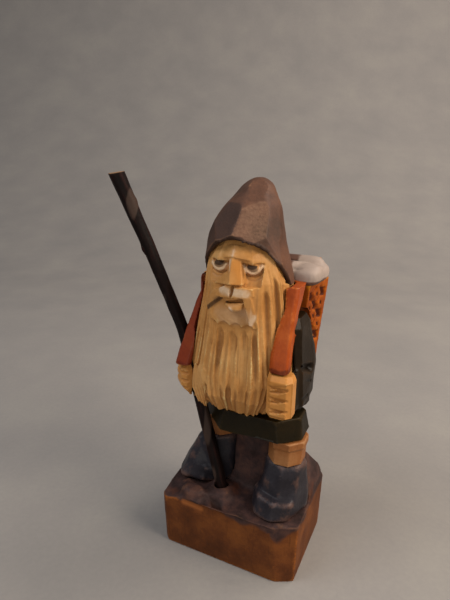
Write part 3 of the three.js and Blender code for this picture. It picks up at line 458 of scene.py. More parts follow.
def stained_wood(name, tones, wear, hollow, worn, grain, coat, depth=0.8, gloss=0.46, extra=None):
    """Thin paint or stain on carved wood.

    It has clouds of tone, grain that shows through, worn ridges, and hollows and grooves that are darker.
    extra, where given, takes the finish, the colour so far and the two fields, and returns the final colour.
    """
    f = Finish(name)
    cloud = f.noise(0.085, detail=4, shift=11)
    fleck = f.noise(1.1, detail=3, shift=5)
    fibre = f.noise(1.5, stretch=(1, 1, 0.07), detail=5, rough=0.6, shift=3)
    colour = f.ramp(cloud * 0.8 + fleck * 0.2, (0.32, tones[0]), (0.5, tones[1]), (0.68, tones[2]))
    colour = f.mix(fibre.step(0.55, 0.8) * grain, colour, hollow)
    sunk = f.mask("hollow") * 0.8 + f.mask("groove")
    colour = f.mix(sunk.step(0.1, 1.0) * depth, colour, hollow)
    bare = (f.mask("ridge") + (fleck - 0.5) * 0.9 + (cloud - 0.5) * 0.5).step(0.28, 0.75)
    colour = f.mix(bare * worn, colour, wear)
    if extra:
        colour = extra(f, colour, fleck, cloud)
    roughness = gloss + (fleck - 0.5) * 0.24 + bare * 0.08
    return f.done(colour, roughness, fibre * 0.6 + fleck * 0.5, 0.25, coat)


def bare_wood():
    def face(f, colour, fleck, cloud):
        # Painted warm light on the front of the nose; over the hands, a warmer tone
        colour = f.mix(f.mask("warm") * 0.6, colour, "c07a30")
        # Painted shade in the creases under the eyes
        colour = f.mix(f.mask("crease").step(0.1, 1.0) * 0.35, colour, "8a6038")
        # Painted shade below the nose, beside it and under the brows
        colour = f.mix(f.mask("shade").step(0.1, 0.9) * 0.6, colour, "6e4522")
        # Painted highlights on the moustache, lip, nose and brow, with paler wood on the lids and chin
        colour = f.mix(f.mask("pale") * (fleck * 0.4 + 0.4), colour, "ecdcc4")
        colour = f.mix(f.mask("eye").step(0.2, 0.8) * 0.8, colour, "7d6650")
        # Painted shade in the mouth, the cut under the moustache and the pupils, which hold a dark iris too
        return f.mix(f.mask("dark").step(0.1, 0.8) * 0.85, colour, "33231a")
    return stained_wood(
        "bare_wood", ("ac773f", "c28b4f", "cf9d61"), "d7bf85", "81532e",
        worn=0.7, grain=0.3, depth=0.55, gloss=0.42, coat=0.04, extra=face)


def cap_brown():
    def flats_and_rim(f, colour, fleck, cloud):
        # Painted sheen on the front flat, painted shade on the flats to its left, and a dark band along the
        # face opening, partly the hood's dark edge and partly painted shade
        colour = f.mix(f.mask("rubbed") * fleck * 0.45, colour, "a9856b")
        colour = f.mix(f.mask("shaded") * 0.6, colour, "2b2220")
        return f.mix(f.mask("rim") * 0.85, colour, "1f1412")
    return stained_wood(
        "cap_brown", ("443127", "5d4134", "714e3b"), "9e7456", "241813",
        worn=0.5, grain=0.3, gloss=0.48, coat=0.02, extra=flats_and_rim)


def basket_orange():
    def weave(f, colour, fleck, cloud):
        colour = f.mix(f.mask("post").step(0.2, 0.8) * 0.7, colour, "8e3714")
        colour = f.mix(f.mask("cream").step(0.2, 0.8) * (fleck * 0.5 + 0.6), colour, "cdbb97")
        return f.mix(f.mask("chip").step(0.05, 0.4) * 0.95, colour, "451806")
    return stained_wood(
        "basket_orange", ("843805", "9f4b06", "b95f0b"), "e29524", "4d1d02",
        worn=0.5, grain=0.45, gloss=0.55, coat=0.03, extra=weave)


def strap_red():
    def painted_shade_far_strap(f, colour, fleck, cloud):
        # The right strap, on the figure's shaded side, is darkened all over with painted shade
        return f.mix(f.mask("far").step(0.2, 0.8) * 0.65, colour, "6d2a22")
    return stained_wood(
        "strap_red", ("863711", "a04617", "b45821"), "d78942", "4e1b08",
        worn=0.5, grain=0.35, gloss=0.40, coat=0.05, extra=painted_shade_far_strap)


def rock_brown():
    def top(f, colour, fleck, cloud):
        patch = f.noise(0.16, detail=5, rough=0.65, shift=23)
        rock = f.ramp(patch, (0.35, "291e1c"), (0.5, "3c2b29"), (0.66, "523830"))
        rust = f.noise(0.11, detail=4, shift=41)
        rock = f.mix(rust.step(0.56, 0.72) * 0.55, rock, "58301e")
        up = (f.mask("top") + (patch - 0.5) * 0.4).step(0.2, 0.75)
        bare = (f.mask("ridge") + (fleck - 0.5)).step(0.35, 0.8)
        rock = f.mix(bare * 0.28, rock, "775139")
        rock = f.mix(f.mask("groove").step(0.1, 1.0) * 0.8, rock, "1e100c")
        colour = f.mix(up, colour, rock)
        return f.mix(f.mask("chip").step(0.2, 0.7) * 0.7, colour, "a26031")
    return stained_wood(
        "rock_brown", ("462511", "603418", "7a461f"), "a15e27", "241307",
        worn=0.5, grain=0.4, gloss=0.6, coat=0.0, extra=top)


def shoe_slate():
    def rubbed(f, colour, fleck, cloud):
        worn = f.noise(0.22, detail=5, rough=0.7, shift=17)
        return f.mix((worn + f.mask("ridge") * 0.4).step(0.56, 0.8) * 0.6, colour, "5f463d")
    return stained_wood(
        "shoe_slate", ("1f1d21", "2a272c", "363439"), "6a5855", "121013",
        worn=0.45, grain=0.2, gloss=0.36, coat=0.05, extra=rubbed)


def bundle_grey():
    def cloth(f, colour, fleck, cloud):
        side = f.mask("pale") + (cloud - 0.5) * 0.4
        return f.mix(side.step(0.2, 0.9) * 0.7, colour, "bcaca1")
    return stained_wood(
        "bundle_grey", ("523a32", "64483e", "6f5246"), "87675a", "3a2720",
        worn=0.6, grain=0.12, gloss=0.40, coat=0.05, extra=cloth)


def twig_bark():
    def cut_end(f, colour, fleck, cloud):
        ring = f.noise(1.3, detail=4, shift=9)
        end = f.ramp(ring, (0.35, "6d4a33"), (0.5, "94704f"), (0.65, "ab8862"))
        end = f.mix(f.mask("pith").step(0.2, 0.8) * 0.8, end, "4a2e1d")
        colour = f.mix(f.mask("lichen").step(0.4, 0.9) * 0.5, colour, "55443b")
        return f.mix(f.mask("cut").step(0.3, 0.7), colour, end)
    return stained_wood(
        "twig_bark", ("0a0303", "120604", "1a0907"), "2c120e", "050201",
        worn=0.5, grain=0.5, gloss=0.6, coat=0.0, extra=cut_end)


PAINTS = {
    "bare_wood": bare_wood(),
    "cap_brown": cap_brown(),
    "coat_green": stained_wood(
        "coat_green", ("120c02", "1a1304", "241906"), "3e2e10", "080601",
        worn=0.4, grain=0.25, coat=0.04),
    "sleeve_grey": stained_wood(
        "sleeve_grey", ("170e03", "1f1406", "291b09"), "483114", "0a0502",
        worn=0.45, grain=0.25, coat=0.05),
    "strap_red": strap_red(),
    "basket_orange": basket_orange(),
    "bundle_grey": bundle_grey(),
    "stocking_cream": stained_wood(
        "stocking_cream", ("7d4b26", "915c33", "9f6d43"), "b2855b", "4b2813",
        worn=0.55, grain=0.35, coat=0.04),
    "shoe_slate": shoe_slate(),
    "rock_brown": rock_brown(),
    "bark": twig_bark(),
    "dowel": stained_wood(
        "dowel", ("c09a66", "d2b184", "dcc092"), "e8d0a6", "a07a48",
        worn=0.3, grain=0.4, gloss=0.65, coat=0.0),
}


# Base block

def base_block():
    wood = Carving("base_block")
    behind_left_shoe = hull(
        (12, 9, 22), (12, 17.4, 22), (26.2, 9, 22), (26.2, 17.4, 22), (26.0, 10.4, 28.6),
        (25.4, 12.6, 31.4), (20.6, 12, 34.6), (14, 12.4, 34.4), (24.4, 16, 28.6), (15, 16.6, 31),
        (26.0, -1, 22), (25.6, 0, 24.4), (23.6, 4, 29.2), (20, 4, 30), (18, 0, 22))
    front_stone = hull(*(
        (-13.6 + r * math.cos(t) * 1.15, -14.9 + r * math.sin(t) * 0.85, z)
        for r, z in ((4.9, 21.4), (4.7, 24.6), (3.0, 26.0))
        for t in np.linspace(0, 2 * math.pi, 8)[:-1]))
    wood.add(behind_left_shoe, front_stone)
    wood.surface(grid=0.5, rounding=5)
    z = wood.v[:, 2]
    lowest_rock = 18
    up = np.maximum(fade(wood.n[:, 2], 0.35, 0.7) * (z > lowest_rock), fade(z, 23.4, 24.6))
    up = wood.blurred(up, 6)
    wood.knife(seed=3, spacing=8.5, tilt=0.06, sag=0.016, where=up)
    wood.relax(3)
    walls = (1 - up) * (wood.n[:, 2] > -0.5)
    wood.knife(seed=4, spacing=14, tilt=0.018, sag=0.0012, where=walls)
    hollow = lozenge(wood.v, (-4.0, -16.4, 23.4), (0.906, -0.423, 0), (0.423, 0.906, 0), 5.4, 2.4)
    wood.mark("groove", fade(hollow, 0, 0.5))
    wood.move(-1.2 * hollow)
    wood.score([(-16.0, -19.2, 20.8), (-9.2, -19.2, 20.2)], half_width=2.2, depth=0.8, mask="chip")
    x, y, z = wood.v.T
    front = fade(y, -15, -18)
    dip = 1.6 * np.exp(-((x - 7) / 6) ** 2) * front + 5.0 * np.exp(-((x - 22) / 4.5) ** 2) * front
    edge = 22.0 - dip + 0.7 * ripple(wood.v, 6, 5)
    facing_up = wood.blurred(fade(wood.n[:, 2], 0.5, 0.8) * (z > lowest_rock), 4)
    wood.masks["top"] = np.maximum(fade(z, edge - 1.4, edge + 1.4), facing_up)
    wood.finish("rock_brown", keep=0.4)


# Shoes and stockings

def shoe(side):
    wood = Carving(side + "_shoe")
    if side == "right":
        flare = hull(
            (-18.2, 1, 39), (-18.2, -3, 38), (-13, 0, 39), (-22.4, 0.6, 31.4), (-24.6, -5.4, 24.2),
            (-24.8, 4.6, 24.2), (-22.4, -9.4, 24.2), (-13, -9, 24.2), (-13, 6, 24.2), (-22, 7, 24.2))
        wood.add(flare)
    wood.surface(grid=0.4, rounding=40)
    wood.move(np.full(len(wood.v), 0.7))
    wood.knife(seed=12 if side == "left" else 13, spacing=6, tilt=0.04, sag=0.02)
    wood.relax(3)
    wood.finish("shoe_slate", keep=0.45)


def stocking(side):
    wood = Carving(side + "_stocking")
    wood.surface(grid=0.35, rounding=3)
    wood.knife(seed=14 if side == "left" else 15, spacing=5.5, tilt=0.04, sag=0.003)
    wood.finish("stocking_cream", keep=0.45)


# Coat

def coat():
    wood = Carving("coat")
    wood.surface(grid=0.5, rounding=3)
    skirt = fade(wood.v[:, 2], 60, 58)
    wood.knife(seed=21, spacing=7, tilt=0.05, sag=0.005, where=skirt)
    wood.finish("coat_green", keep=0.35)


# Head and beard

# Levels of the head: height, half width, shift to the left
HEAD_LEVELS = np.array((
    (58.8, 13.5, 0), (65.0, 17.0, 0), (72.0, 18.8, 0),
    (104.7, 13.2, 0.8), (111.9, 11.0, 0), (119.9, 7.0, 0)))
# Share of the head's width that its flat front takes up, and how fast the cheeks fall back beside it
FRONT_SHARE = 0.52
CHEEK_FALL = 0.92
# Height at which the strands leave the face, by their place across the beard
BEARD_TOP = np.array((
    (-1.1, 109), (-0.8, 108), (-0.55, 97), (-0.4, 91), (0.38, 91), (0.5, 98), (0.6, 108), (0.7, 112)))
# Way round the beard from its middle line to where the cuts end, and to where a share of 1 lies
BEARD_END = 28.0
BEARD_REACH = 22.0


def beard_spot(v):
    """How far round the head each point lies from the middle line, and how far its front and cheek reach."""
    z = v[:, 2]
    half = np.interp(z, HEAD_LEVELS[:, 0], HEAD_LEVELS[:, 1])
    x = v[:, 0] - np.interp(z, HEAD_LEVELS[:, 0], HEAD_LEVELS[:, 2])
    flat = half * FRONT_SHARE
    slant = math.hypot(1, CHEEK_FALL)
    reach = flat + (half - flat) * slant
    out = np.abs(x)
    round_front = np.where(out < flat, out, flat + (out - flat) * slant)
    side = (out > half - 1.2) & (v[:, 1] > -7.2)
    return np.sign(x) * np.where(side, reach + v[:, 1] + 7.4, round_front), reach


def beard_top(share):
    return np.interp(share, *BEARD_TOP.T)


def gouge_cuts(wood, seed, pitch, start, length, half_width, depth, lean, open_end=False):
    """A row of long pointed V cuts side by side down the beard; returns how deep each point is cut."""
    rng = np.random.default_rng(seed)
    across, reach = beard_spot(wood.v)
    z = wood.v[:, 2]
    deep = np.zeros(len(z))
    place = -BEARD_END
    while place < BEARD_END:
        share = place / BEARD_REACH
        top = start(share) + rng.uniform(-2.2, 0.4)
        t = np.clip((top - z) / rng.uniform(*length), 0, 1)
        swell = fade(t, 0, 0.3) * (1 if open_end else fade(t, 1.0, 0.6))
        bow = rng.uniform(-0.3, 0.3) * np.sin(t * math.pi)
        off = across - share * reach - bow - rng.uniform(*lean) * (top - z)
        steep = rng.uniform(0.55, 1.0)
        wide = rng.uniform(*half_width) * (0.35 + 0.65 * swell)
        section = np.clip(1 - np.where(off < 0, -off / (wide * steep), off / (wide * (2 - steep))), 0, 1)
        deep = np.maximum(deep, section * swell * rng.uniform(*depth))
        place += rng.uniform(*pitch)
    return deep


def beard_strands(wood):
    """Three rows of cuts, from the face down, over the main cuts of the block."""
    z = wood.v[:, 2]
    from_face = gouge_cuts(
        wood, seed=7, pitch=(1.7, 3.1), start=beard_top, length=(16, 34),
        half_width=(0.8, 1.5), depth=(0.35, 0.85), lean=(-0.03, 0.03))
    halfway = gouge_cuts(
        wood, seed=8, pitch=(2.2, 4.2), start=lambda share: 86 + 6 * abs(share), length=(14, 26),
        half_width=(0.7, 1.3), depth=(0.4, 0.9), lean=(-0.05, 0.04))
    tips = gouge_cuts(
        wood, seed=9, pitch=(1.8, 3.4), start=lambda share: 72 + 4 * share, length=(9, 16),
        half_width=(0.9, 1.6), depth=(0.6, 1.2), lean=(-0.13, 0.03), open_end=True)
    outside = fade(wood.n[:, 1], 0.55, 0.3) * (wood.v[:, 1] < -1.5)
    deep = np.maximum.reduce((from_face, halfway, tips)) * outside
    wood.mark("groove", np.clip(deep, 0, 1) ** 1.3 * 0.75)
    wood.move(-deep)
    x = wood.v[:, 0]
    chin_end = 90.6 + 1.3 * np.abs(np.sin((x + 4.6) * 0.75))
    below = fade(z, chin_end + 0.25, chin_end - 0.25) * fade(z, 78, 88) * fade(np.abs(x - 0.8), 8.5, 7.0)
    wood.move(-0.7 * below * outside)


def brow_ledges():
    right = hull(
        (-9.0, -9.8, 111.3), (-2.4, -13.1, 112.4), (-0.2, -13.5, 112.7), (-8.7, -9.4, 110.4),
        (-2.4, -12.0, 111.2), (-0.2, -12.4, 111.4), (-7.6, -9.0, 115.0), (-0.3, -11.2, 116.2),
        (-8.4, -8, 110.6), (-0.2, -9, 111))
    left = hull(
        (8.2, -9.6, 110.6), (5.0, -12.7, 111.9), (-0.2, -13.5, 112.7), (7.8, -8.9, 109.7),
        (4.6, -11.5, 110.4), (0.2, -12.3, 111.2), (7.4, -8.8, 114.8), (-0.3, -11.2, 116.2),
        (8.0, -8, 110), (0, -9, 111))
    return [right, left]


def nose():
    front = hull(
        (-1.5, -12.8, 111.8), (-0.4, -13.6, 112.0), (2.2, -12.6, 111.7), (-0.6, -14.7, 108.4),
        (0.2, -17.0, 104.9), (4.2, -15.9, 104.9), (0.4, -14.4, 103.9), (3.9, -13.6, 104.1),
        (-1.6, -10, 111.8), (2.6, -10, 111.6), (-2.4, -10, 104.5), (4.6, -10, 104.5))
    right_wing = hull(
        (-2.2, -14.0, 107.9), (-6.2, -13.6, 103.9), (0.2, -16.9, 104.9), (-0.6, -15.0, 107.8),
        (0.2, -14.6, 103.9), (-5.2, -12.4, 103.5), (-2.2, -10, 107.9), (-5.8, -10, 103.9),
        (0.2, -10, 104.5))
    return [front, right_wing]


def moustache():
    right_inner = hull(
        (0.9, -16.1, 103.9), (0.4, -16.4, 100.5), (-3.3, -15.5, 100.0), (-2.1, -15.5, 103.8),
        (-6.6, -14.0, 101.5), (0.9, -11, 103.9), (0.4, -11, 100.5), (-3.3, -11, 100.0),
        (-6.4, -10.5, 101.6))
    right_outer = hull(
        (-3.3, -15.5, 100.0), (-2.6, -15.4, 102.6), (-6.6, -14.1, 101.5), (-8.8, -12.9, 98.6),
        (-10.0, -12.3, 95.2), (-9.7, -12.3, 94.7), (-3.3, -11, 100), (-6.4, -10.5, 101.5),
        (-8.6, -9, 98.6), (-9.6, -9, 95))
    left_inner = hull(
        (0.9, -16.1, 103.9), (0.4, -16.4, 100.5), (4.7, -15.7, 104.0), (7.1, -14.5, 103.6),
        (7.4, -14.3, 101.2), (5.6, -15.3, 100.8), (4.2, -15.9, 100.6), (0.9, -11, 103.9),
        (0.4, -11, 100.5), (7, -10.5, 103.4), (7.2, -10.5, 101.2), (4.2, -11, 100.6))
    left_fall = hull(
        (4.3, -15.6, 100.6), (6.8, -14.9, 101.0), (4.8, -15.2, 98.8), (7.7, -14.4, 96.4),
        (8.4, -13.9, 94.0), (6.5, -14.9, 91.5), (6.1, -15.1, 94.7), (4.4, -11, 100.6),
        (6.8, -11, 101), (8.2, -10.5, 94.0), (6.5, -11, 91.6))
    upper_lip = hull(
        (-2.6, -15.2, 100.1), (0.4, -15.9, 100.7), (4.2, -15.4, 100.9), (-1.8, -15.0, 98.9),
        (1.0, -15.4, 99.5), (4.1, -14.9, 100.5), (-2.4, -12, 100.1), (4.2, -12, 100.9),
        (-1.7, -12, 98.9), (4.0, -12, 100.5))
    lower_lip = hull(
        (-1.9, -14.9, 98.0), (1.0, -15.7, 97.7), (2.6, -15.7, 98.1), (4.5, -14.9, 99.2),
        (0.4, -16.2, 96.9), (2.6, -16.1, 96.8), (1.5, -15.6, 95.6), (-0.6, -15.1, 96.2),
        (3.8, -15.3, 96.7), (-1.8, -12, 98), (4.4, -12, 99), (1.5, -12, 95.8))
    return [right_inner, right_outer, left_inner, left_fall, upper_lip, lower_lip]


def face_cuts():
    """Groove below the nose and the open cut below the right half of the moustache."""
    below_nose = hull(
        (-1.0, -18, 104.4), (2.9, -18, 104.4), (0.0, -18, 100.2), (0.9, -18, 100.2),
        (0.9, -14.3, 104.3), (0.5, -14.8, 100.6))
    right_slash = hull(
        (-2.9, -18, 100.3), (-6.3, -18, 98.1), (-6.9, -18, 96.0), (-10.6, -18, 94.2),
        (-5.2, -12.6, 98.3), (-8.4, -11.0, 95.6))
    return [below_nose, right_slash]


def cheek(x, z, out=0.0):
    """Point on the hollow below a brow, or a little in front of it."""
    inner = -10.5 - (111.2 - z) * 0.32
    outer = -8.7 - (110.6 - z) * 0.403
    return x, inner + (outer - inner) * (abs(x) - 1.4) / 7.5 - out, z


def on_cheek(path, out=0.0):
    return [cheek(x, z, out) for x, z in path]


EYES = (cheek(-5.6, 109.3, 0.2), cheek(5.5, 108.9, 0.2))
LOWER_LIDS = (
    on_cheek(((-8.5, 109.5), (-7.7, 108.4), (-6.7, 107.9), (-5.3, 107.8), (-3.8, 108.4), (-3.1, 109.8)), 0.8),
    on_cheek(((2.9, 109.6), (4.0, 108.3), (5.2, 107.7), (6.4, 107.7), (7.4, 108.4), (8.2, 109.8)), 0.8),
)
LID_CUTS = (
    on_cheek(((-8.2, 107.6), (-6.7, 106.9), (-5.0, 106.8), (-3.3, 107.5))),
    on_cheek(((3.2, 107.3), (4.9, 106.7), (6.4, 106.7), (7.9, 107.4), (8.6, 108.8))),
)
EYE_BAGS = (
    on_cheek(((-8.2, 106.4), (-6.4, 105.7), (-3.0, 106.4))),
    on_cheek(((3.8, 106.4), (5.0, 105.6), (6.8, 105.6), (8.5, 106.7))),
)


PUPILS = (cheek(-5.9, 110.1, 1.4), cheek(5.4, 109.9, 1.4))
# Painted highlights on the moustache, lip, nose and brow, partly over paler wood: path, and how far from it
PALE_AND_HIGHLIGHT_PLACES = (
    (((-2.8, -15.5, 102.8), (-0.4, -16.2, 102.2)), 1.2),
    (((1.8, -16.2, 102.4), (5.4, -15.5, 102.2)), 1.2),
    (((0.2, -16.1, 97.2), (0.8, -16.1, 96.4)), 0.6),
    (((7.7, -14.3, 94.8), (6.8, -14.8, 92.4)), 0.8),
    (((-0.9, -13.3, 111.5), (-0.6, -14.5, 108.6)), 0.5),
    (((-0.2, -13.4, 112.8), (-0.2, -12.2, 114.4)), 0.3),
)
# Painted shade beside and below the nose and under the brows: path and half width
SHADED_CORNERS = (
    (((2.6, -12.0, 111.0), (3.7, -13.4, 107.6), (4.7, -14.0, 104.8)), 1.2),
    (((-4.6, -12.8, 103.5), (0.4, -14.6, 103.8), (4.1, -13.8, 104.0)), 0.8),
    (((-8.4, -9.6, 110.5), (-2.2, -11.6, 111.2)), 0.8),
    (((1.8, -11.6, 111.2), (5.0, -11.2, 110.6), (8.2, -9.2, 109.6)), 0.8),
)


def lower_lid(path, radius, depth):
    """Rounded strip that reaches back into the head."""
    stretches = []
    for a, b in zip(path, path[1:]):
        corners = []
        for x, y, z in (a, b):
            corners += [(x - radius, y, z), (x + radius, y, z), (x, y, z - radius), (x, y, z + radius)]
            corners += [(x, y - radius, z), (x, y + depth, z - radius), (x, y + depth, z + radius)]
        stretches.append(hull(*corners))
    return stretches


def seen_from_front(v, path, half_width):
    """Section of a mark drawn on the face, whatever the depth of the surface."""
    flat = v * (1, 0, 1)
    return vee(flat, [(x, 0, z) for x, z in path], half_width) * (v[:, 1] < -9)


def rough_out_face(wood):
    """Flat mask of the face, with hollows for the eyes and the mouth."""
    wood.cut(hull(
        (-9, -12.3, 112.2), (9, -12.3, 112.2), (-9, -14.5, 90.5), (9, -14.5, 90.5),
        (-9, -22, 112.2), (9, -22, 112.2), (-9, -22, 90.5), (9, -22, 90.5)))
    wood.add(hull(
        (-6.3, -13.5, 104.7), (7.5, -13.5, 104.7), (-5.6, -12.1, 111.7), (5.6, -12.1, 111.7),
        (-6.6, -13.9, 95.5), (7.9, -13.9, 95.5), (-6.2, -14.5, 90.6), (7.0, -14.5, 90.6),
        (-8, -12, 104.7), (9, -12, 104.7), (-8, -7, 111.7), (8, -7, 111.7), (-8, -7, 90.6), (8, -7, 90.6)))
    sockets = []
    for side, drop in ((-1, 0), (1, 0.6)):
        sockets.append(hull(*mirrored([
            (1.4, -10.5, 111.2), cheek(8.9, 110.6 - drop), (1.4, -20, 111.2), (8.9, -20, 110.6 - drop),
            cheek(1.4, 103.9), cheek(8.9, 104.0), (1.4, -20, 103.1), (8.9, -20, 103.1)], side)))
    wood.cut(*sockets)
    wood.cut(hull(
        (-2.4, -18, 100.0), (4.8, -18, 101.0), (-2.4, -18, 95.6), (5.2, -18, 96.4),
        (-1.4, -13.0, 99.4), (4.0, -13.0, 100.2), (-0.8, -13.0, 96.8), (3.8, -13.0, 97.2)))


def colour_face(wood):
    """Masks for the colours of the lips, lids and eyes, with painted shade in the mouth, the cuts, the pupils
    and the corners, painted warm light on the nose and painted highlights.
    """
    # Painted shade in the mouth between the lips and in the cut under the right half of the moustache
    wood.mark("dark", vee(wood.v, [(-1.6, -14.0, 98.5), (1.2, -14.2, 98.6), (4.2, -14.0, 99.8)], 0.9))
    slash = seen_from_front(wood.v, [(-3.6, 99.6), (-6.6, 97.1), (-9.2, 95.0)], 1.15)
    wood.mark("dark", 0.7 * fade(slash, 0.1, 0.6))
    # Painted shade in the groove below the nose, and in the corners beside and below it and under the brows
    wood.mark("shade", fade(seen_from_front(wood.v, [(0.9, 103.8), (0.5, 101.0)], 0.7), 0.1, 0.6))
    for path, half_width in SHADED_CORNERS:
        wood.mark("shade", vee(wood.v, path, half_width))
    # Painted highlights, partly over paler wood, and paler lids and chin
    pale = np.any([from_path(wood.v, path) < reach for path, reach in PALE_AND_HIGHLIGHT_PLACES], axis=0)
    chin = seen_from_front(wood.v, [(-3.4, 94.2), (1.0, 93.6), (4.6, 94.6)], 3.2)
    cream = 0.28 * fade(chin, 0, 0.5)
    for path in LOWER_LIDS:
        cream = np.maximum(cream, 0.6 * (from_path(wood.v, path) < 0.75))
    wood.masks["pale"] = wood.blurred(np.maximum(pale * 0.75, cream), 3)
    # Painted warm light on the front plane of the nose
    warm = vee(wood.v, [(1.2, -13.6, 110.6), (1.9, -15.0, 107.4), (2.4, -16.2, 105.4)], 2.4)
    wood.masks["warm"] = fade(warm, 0.1, 0.6)
    for eye, lid, pupil in zip(EYES, LOWER_LIDS, PUPILS):
        gap = np.linalg.norm((wood.v - np.array(eye)) / (2.3, 1.7, 1.7), axis=1)
        eyeball = fade(gap, 1.02, 0.9) * fade(from_path(wood.v, lid), 0.55, 0.7)
        wood.mark("eye", eyeball)
        # Dark pupils: partly a painted iris, partly painted shade under the brows
        spot = np.linalg.norm((wood.v - pupil) * (0.6, 0.5, 1.0), axis=1)
        wood.mark("dark", fade(spot, 1.2, 0.8) * (eyeball > 0.2))


def head_and_beard():
    wood = Carving("head_and_beard")
    rough_out_face(wood)
    eyes = [ball(EYES[0], (2.3, 1.4, 1.6)), ball(EYES[1], (2.5, 1.4, 1.6))]
    lids = [stretch for path in LOWER_LIDS for stretch in lower_lid(path, radius=0.55, depth=1.8)]
    for part in brow_ledges() + nose() + moustache() + eyes + lids:
        wood.add(part)
    wood.cut(*face_cuts())
    right_beard_corner = hull(
        (-14.9, -12.0, 74.0), (-15.5, -12.0, 68.0), (-15.7, -11.9, 64.0), (-15.4, -11.9, 61.0),
        (-13.2, -12.7, 59.8), (-9.0, -14.2, 59.0), (-9.0, -15.2, 66.0), (-9.0, -15.2, 74.0),
        (-14.8, -10.6, 73.5), (-15.3, -10.8, 66.0), (-15.2, -10.9, 61.2), (-12.6, -9.8, 60.4),
        (-12.6, -9.8, 73.0), (-9, -9.8, 60), (-9, -9.8, 73))
    wood.add(right_beard_corner)
    beside_left_strap = hull(
        (12, -7, 96), (12, 2, 96), (14.6, -6.4, 96), (14.9, 1.4, 96), (12, -7, 104.4), (12, 2, 102.8),
        (14.3, -6.4, 104.2), (14.9, -3, 103.4), (15.0, 1.4, 102.8))
    wood.add(beside_left_strap)
    wood.surface(grid=0.24, rounding=2)
    beard_strands(wood)
    forehead = fade(wood.v[:, 2], 113.2, 114.4) * (wood.n[:, 1] < 0.3)
    wood.knife(seed=31, spacing=6.5, tilt=0.04, sag=0.003, where=forehead)
    for path in LID_CUTS:
        wood.score(path, half_width=0.5, depth=0.45)
    # The creases under the eyes are darkened as painted shade
    for path in EYE_BAGS:
        wood.score(path, half_width=0.6, depth=0.22, mask="crease")
    below_lip = [(-0.9, -15.2, 95.8), (1.6, -15.6, 95.1), (4.2, -14.9, 96.3)]
    wood.score(below_lip, half_width=0.6, depth=0.5)
    colour_face(wood)
    wood.finish("bare_wood", keep=0.35)


# Cap

# Flat cuts on the cap: the way each one faces and its depth
CAP_CUTS = (
    ((0.40, -0.72, 0.57), 0.9), ((-0.30, -0.72, 0.62), 0.8), ((-0.70, -0.66, 0.28), 0.8),
    ((-0.95, -0.10, 0.28), 0.7), ((0.82, -0.40, 0.40), 0.7), ((0.62, -0.76, 0.20), 0.6),
    ((0.97, 0.05, 0.24), 0.6), ((-0.44, -0.40, 0.80), 0.6), ((0.22, -0.52, 0.82), 0.5),
    ((-0.80, 0.50, 0.34), 0.8), ((-0.30, 0.86, 0.42), 0.8), ((0.38, 0.84, 0.38), 0.8),
    ((0.82, 0.48, 0.30), 0.7), ((0.06, 0.64, 0.77), 0.7),
)


def cap():
    wood = Carving("cap")
    left_opening = ((-20, 116), (-12, 116), (-3.2, 104.6), (-2.8, 100), (-20, 100))
    right_opening = ((-20, 116), (-11.9, 116), (-4.8, 104.5), (-3.4, 100), (-20, 100))
    for ends, section in (((2, 22), left_opening), ((-22, -2), right_opening)):
        wood.cut(hull(*[(x, y, z) for x in ends for y, z in section]))
    wood.surface(grid=0.4, rounding=4)
    edge = fade(wood.n @ np.array((0, -0.8, -0.6)), 0.6, 0.8) * (wood.v[:, 1] < 0)
    body = 1 - wood.blurred(edge, 6)
    rounded = wood.blurred(wood.v, 24)
    wood.v = wood.v + (rounded - wood.v) * (body ** 2)[:, None]
    wood.write()
    z = wood.v[:, 2]
    out = np.clip(wood.n @ np.array((-0.90, -0.43, 0)), 0, 1)
    swell = 1.6 * np.exp(-((z - 121.5) / 6.0) ** 2)
    wood.move(out * swell)
    wood.move(0.35 * body)
    for facing, depth in CAP_CUTS:
        wood.facet(facing, depth, body)
    wood.knife(seed=43, spacing=6, tilt=0.02, sag=0.003, where=body)
    # Dark band along the face opening: partly the hood's dark edge, partly painted shade
    wood.masks["rim"] = fade(wood.blurred(edge, 10), 0.08, 0.3)
    # The first cut's flat takes a painted sheen, the next three painted shade
    for name, cuts in (("rubbed", CAP_CUTS[:1]), ("shaded", CAP_CUTS[1:4])):
        flat = np.max([fade(wood.n @ np.array(facing), 0.975, 0.992) for facing, _ in cuts], axis=0)
        wood.masks[name] = wood.blurred(flat * body, 2)
    wood.finish("cap_brown", keep=0.4)


# Sleeves and hands

def sleeve(side):
    wood = Carving(side + "_sleeve")
    wood.surface(grid=0.4, rounding=4)
    seed, way, set_back = (51, 1, 0) if side == "left" else (52, -1, 5)
    wood.knife(seed=seed, spacing=7, tilt=0.06, sag=0.005)
    # Path, half width and depth
    folds = (
        ([(20.5, -8.6, 78.3), (22.4, -6.0, 77.4), (22.4, 3.4, 73.6)], 1.9, 2.1),
        ([(22.4, -3.0, 71.4), (22.4, 3.6, 68.6)], 0.9, 0.6),
        ([(22.2, -6.6, 66.0), (22.3, 0.5, 64.6)], 0.8, 0.5),
    )
    for path, half_width, depth in folds:
        wood.score([(way * x, y + set_back, z) for x, y, z in path], half_width, depth)
    wood.finish("sleeve_grey", keep=0.45)


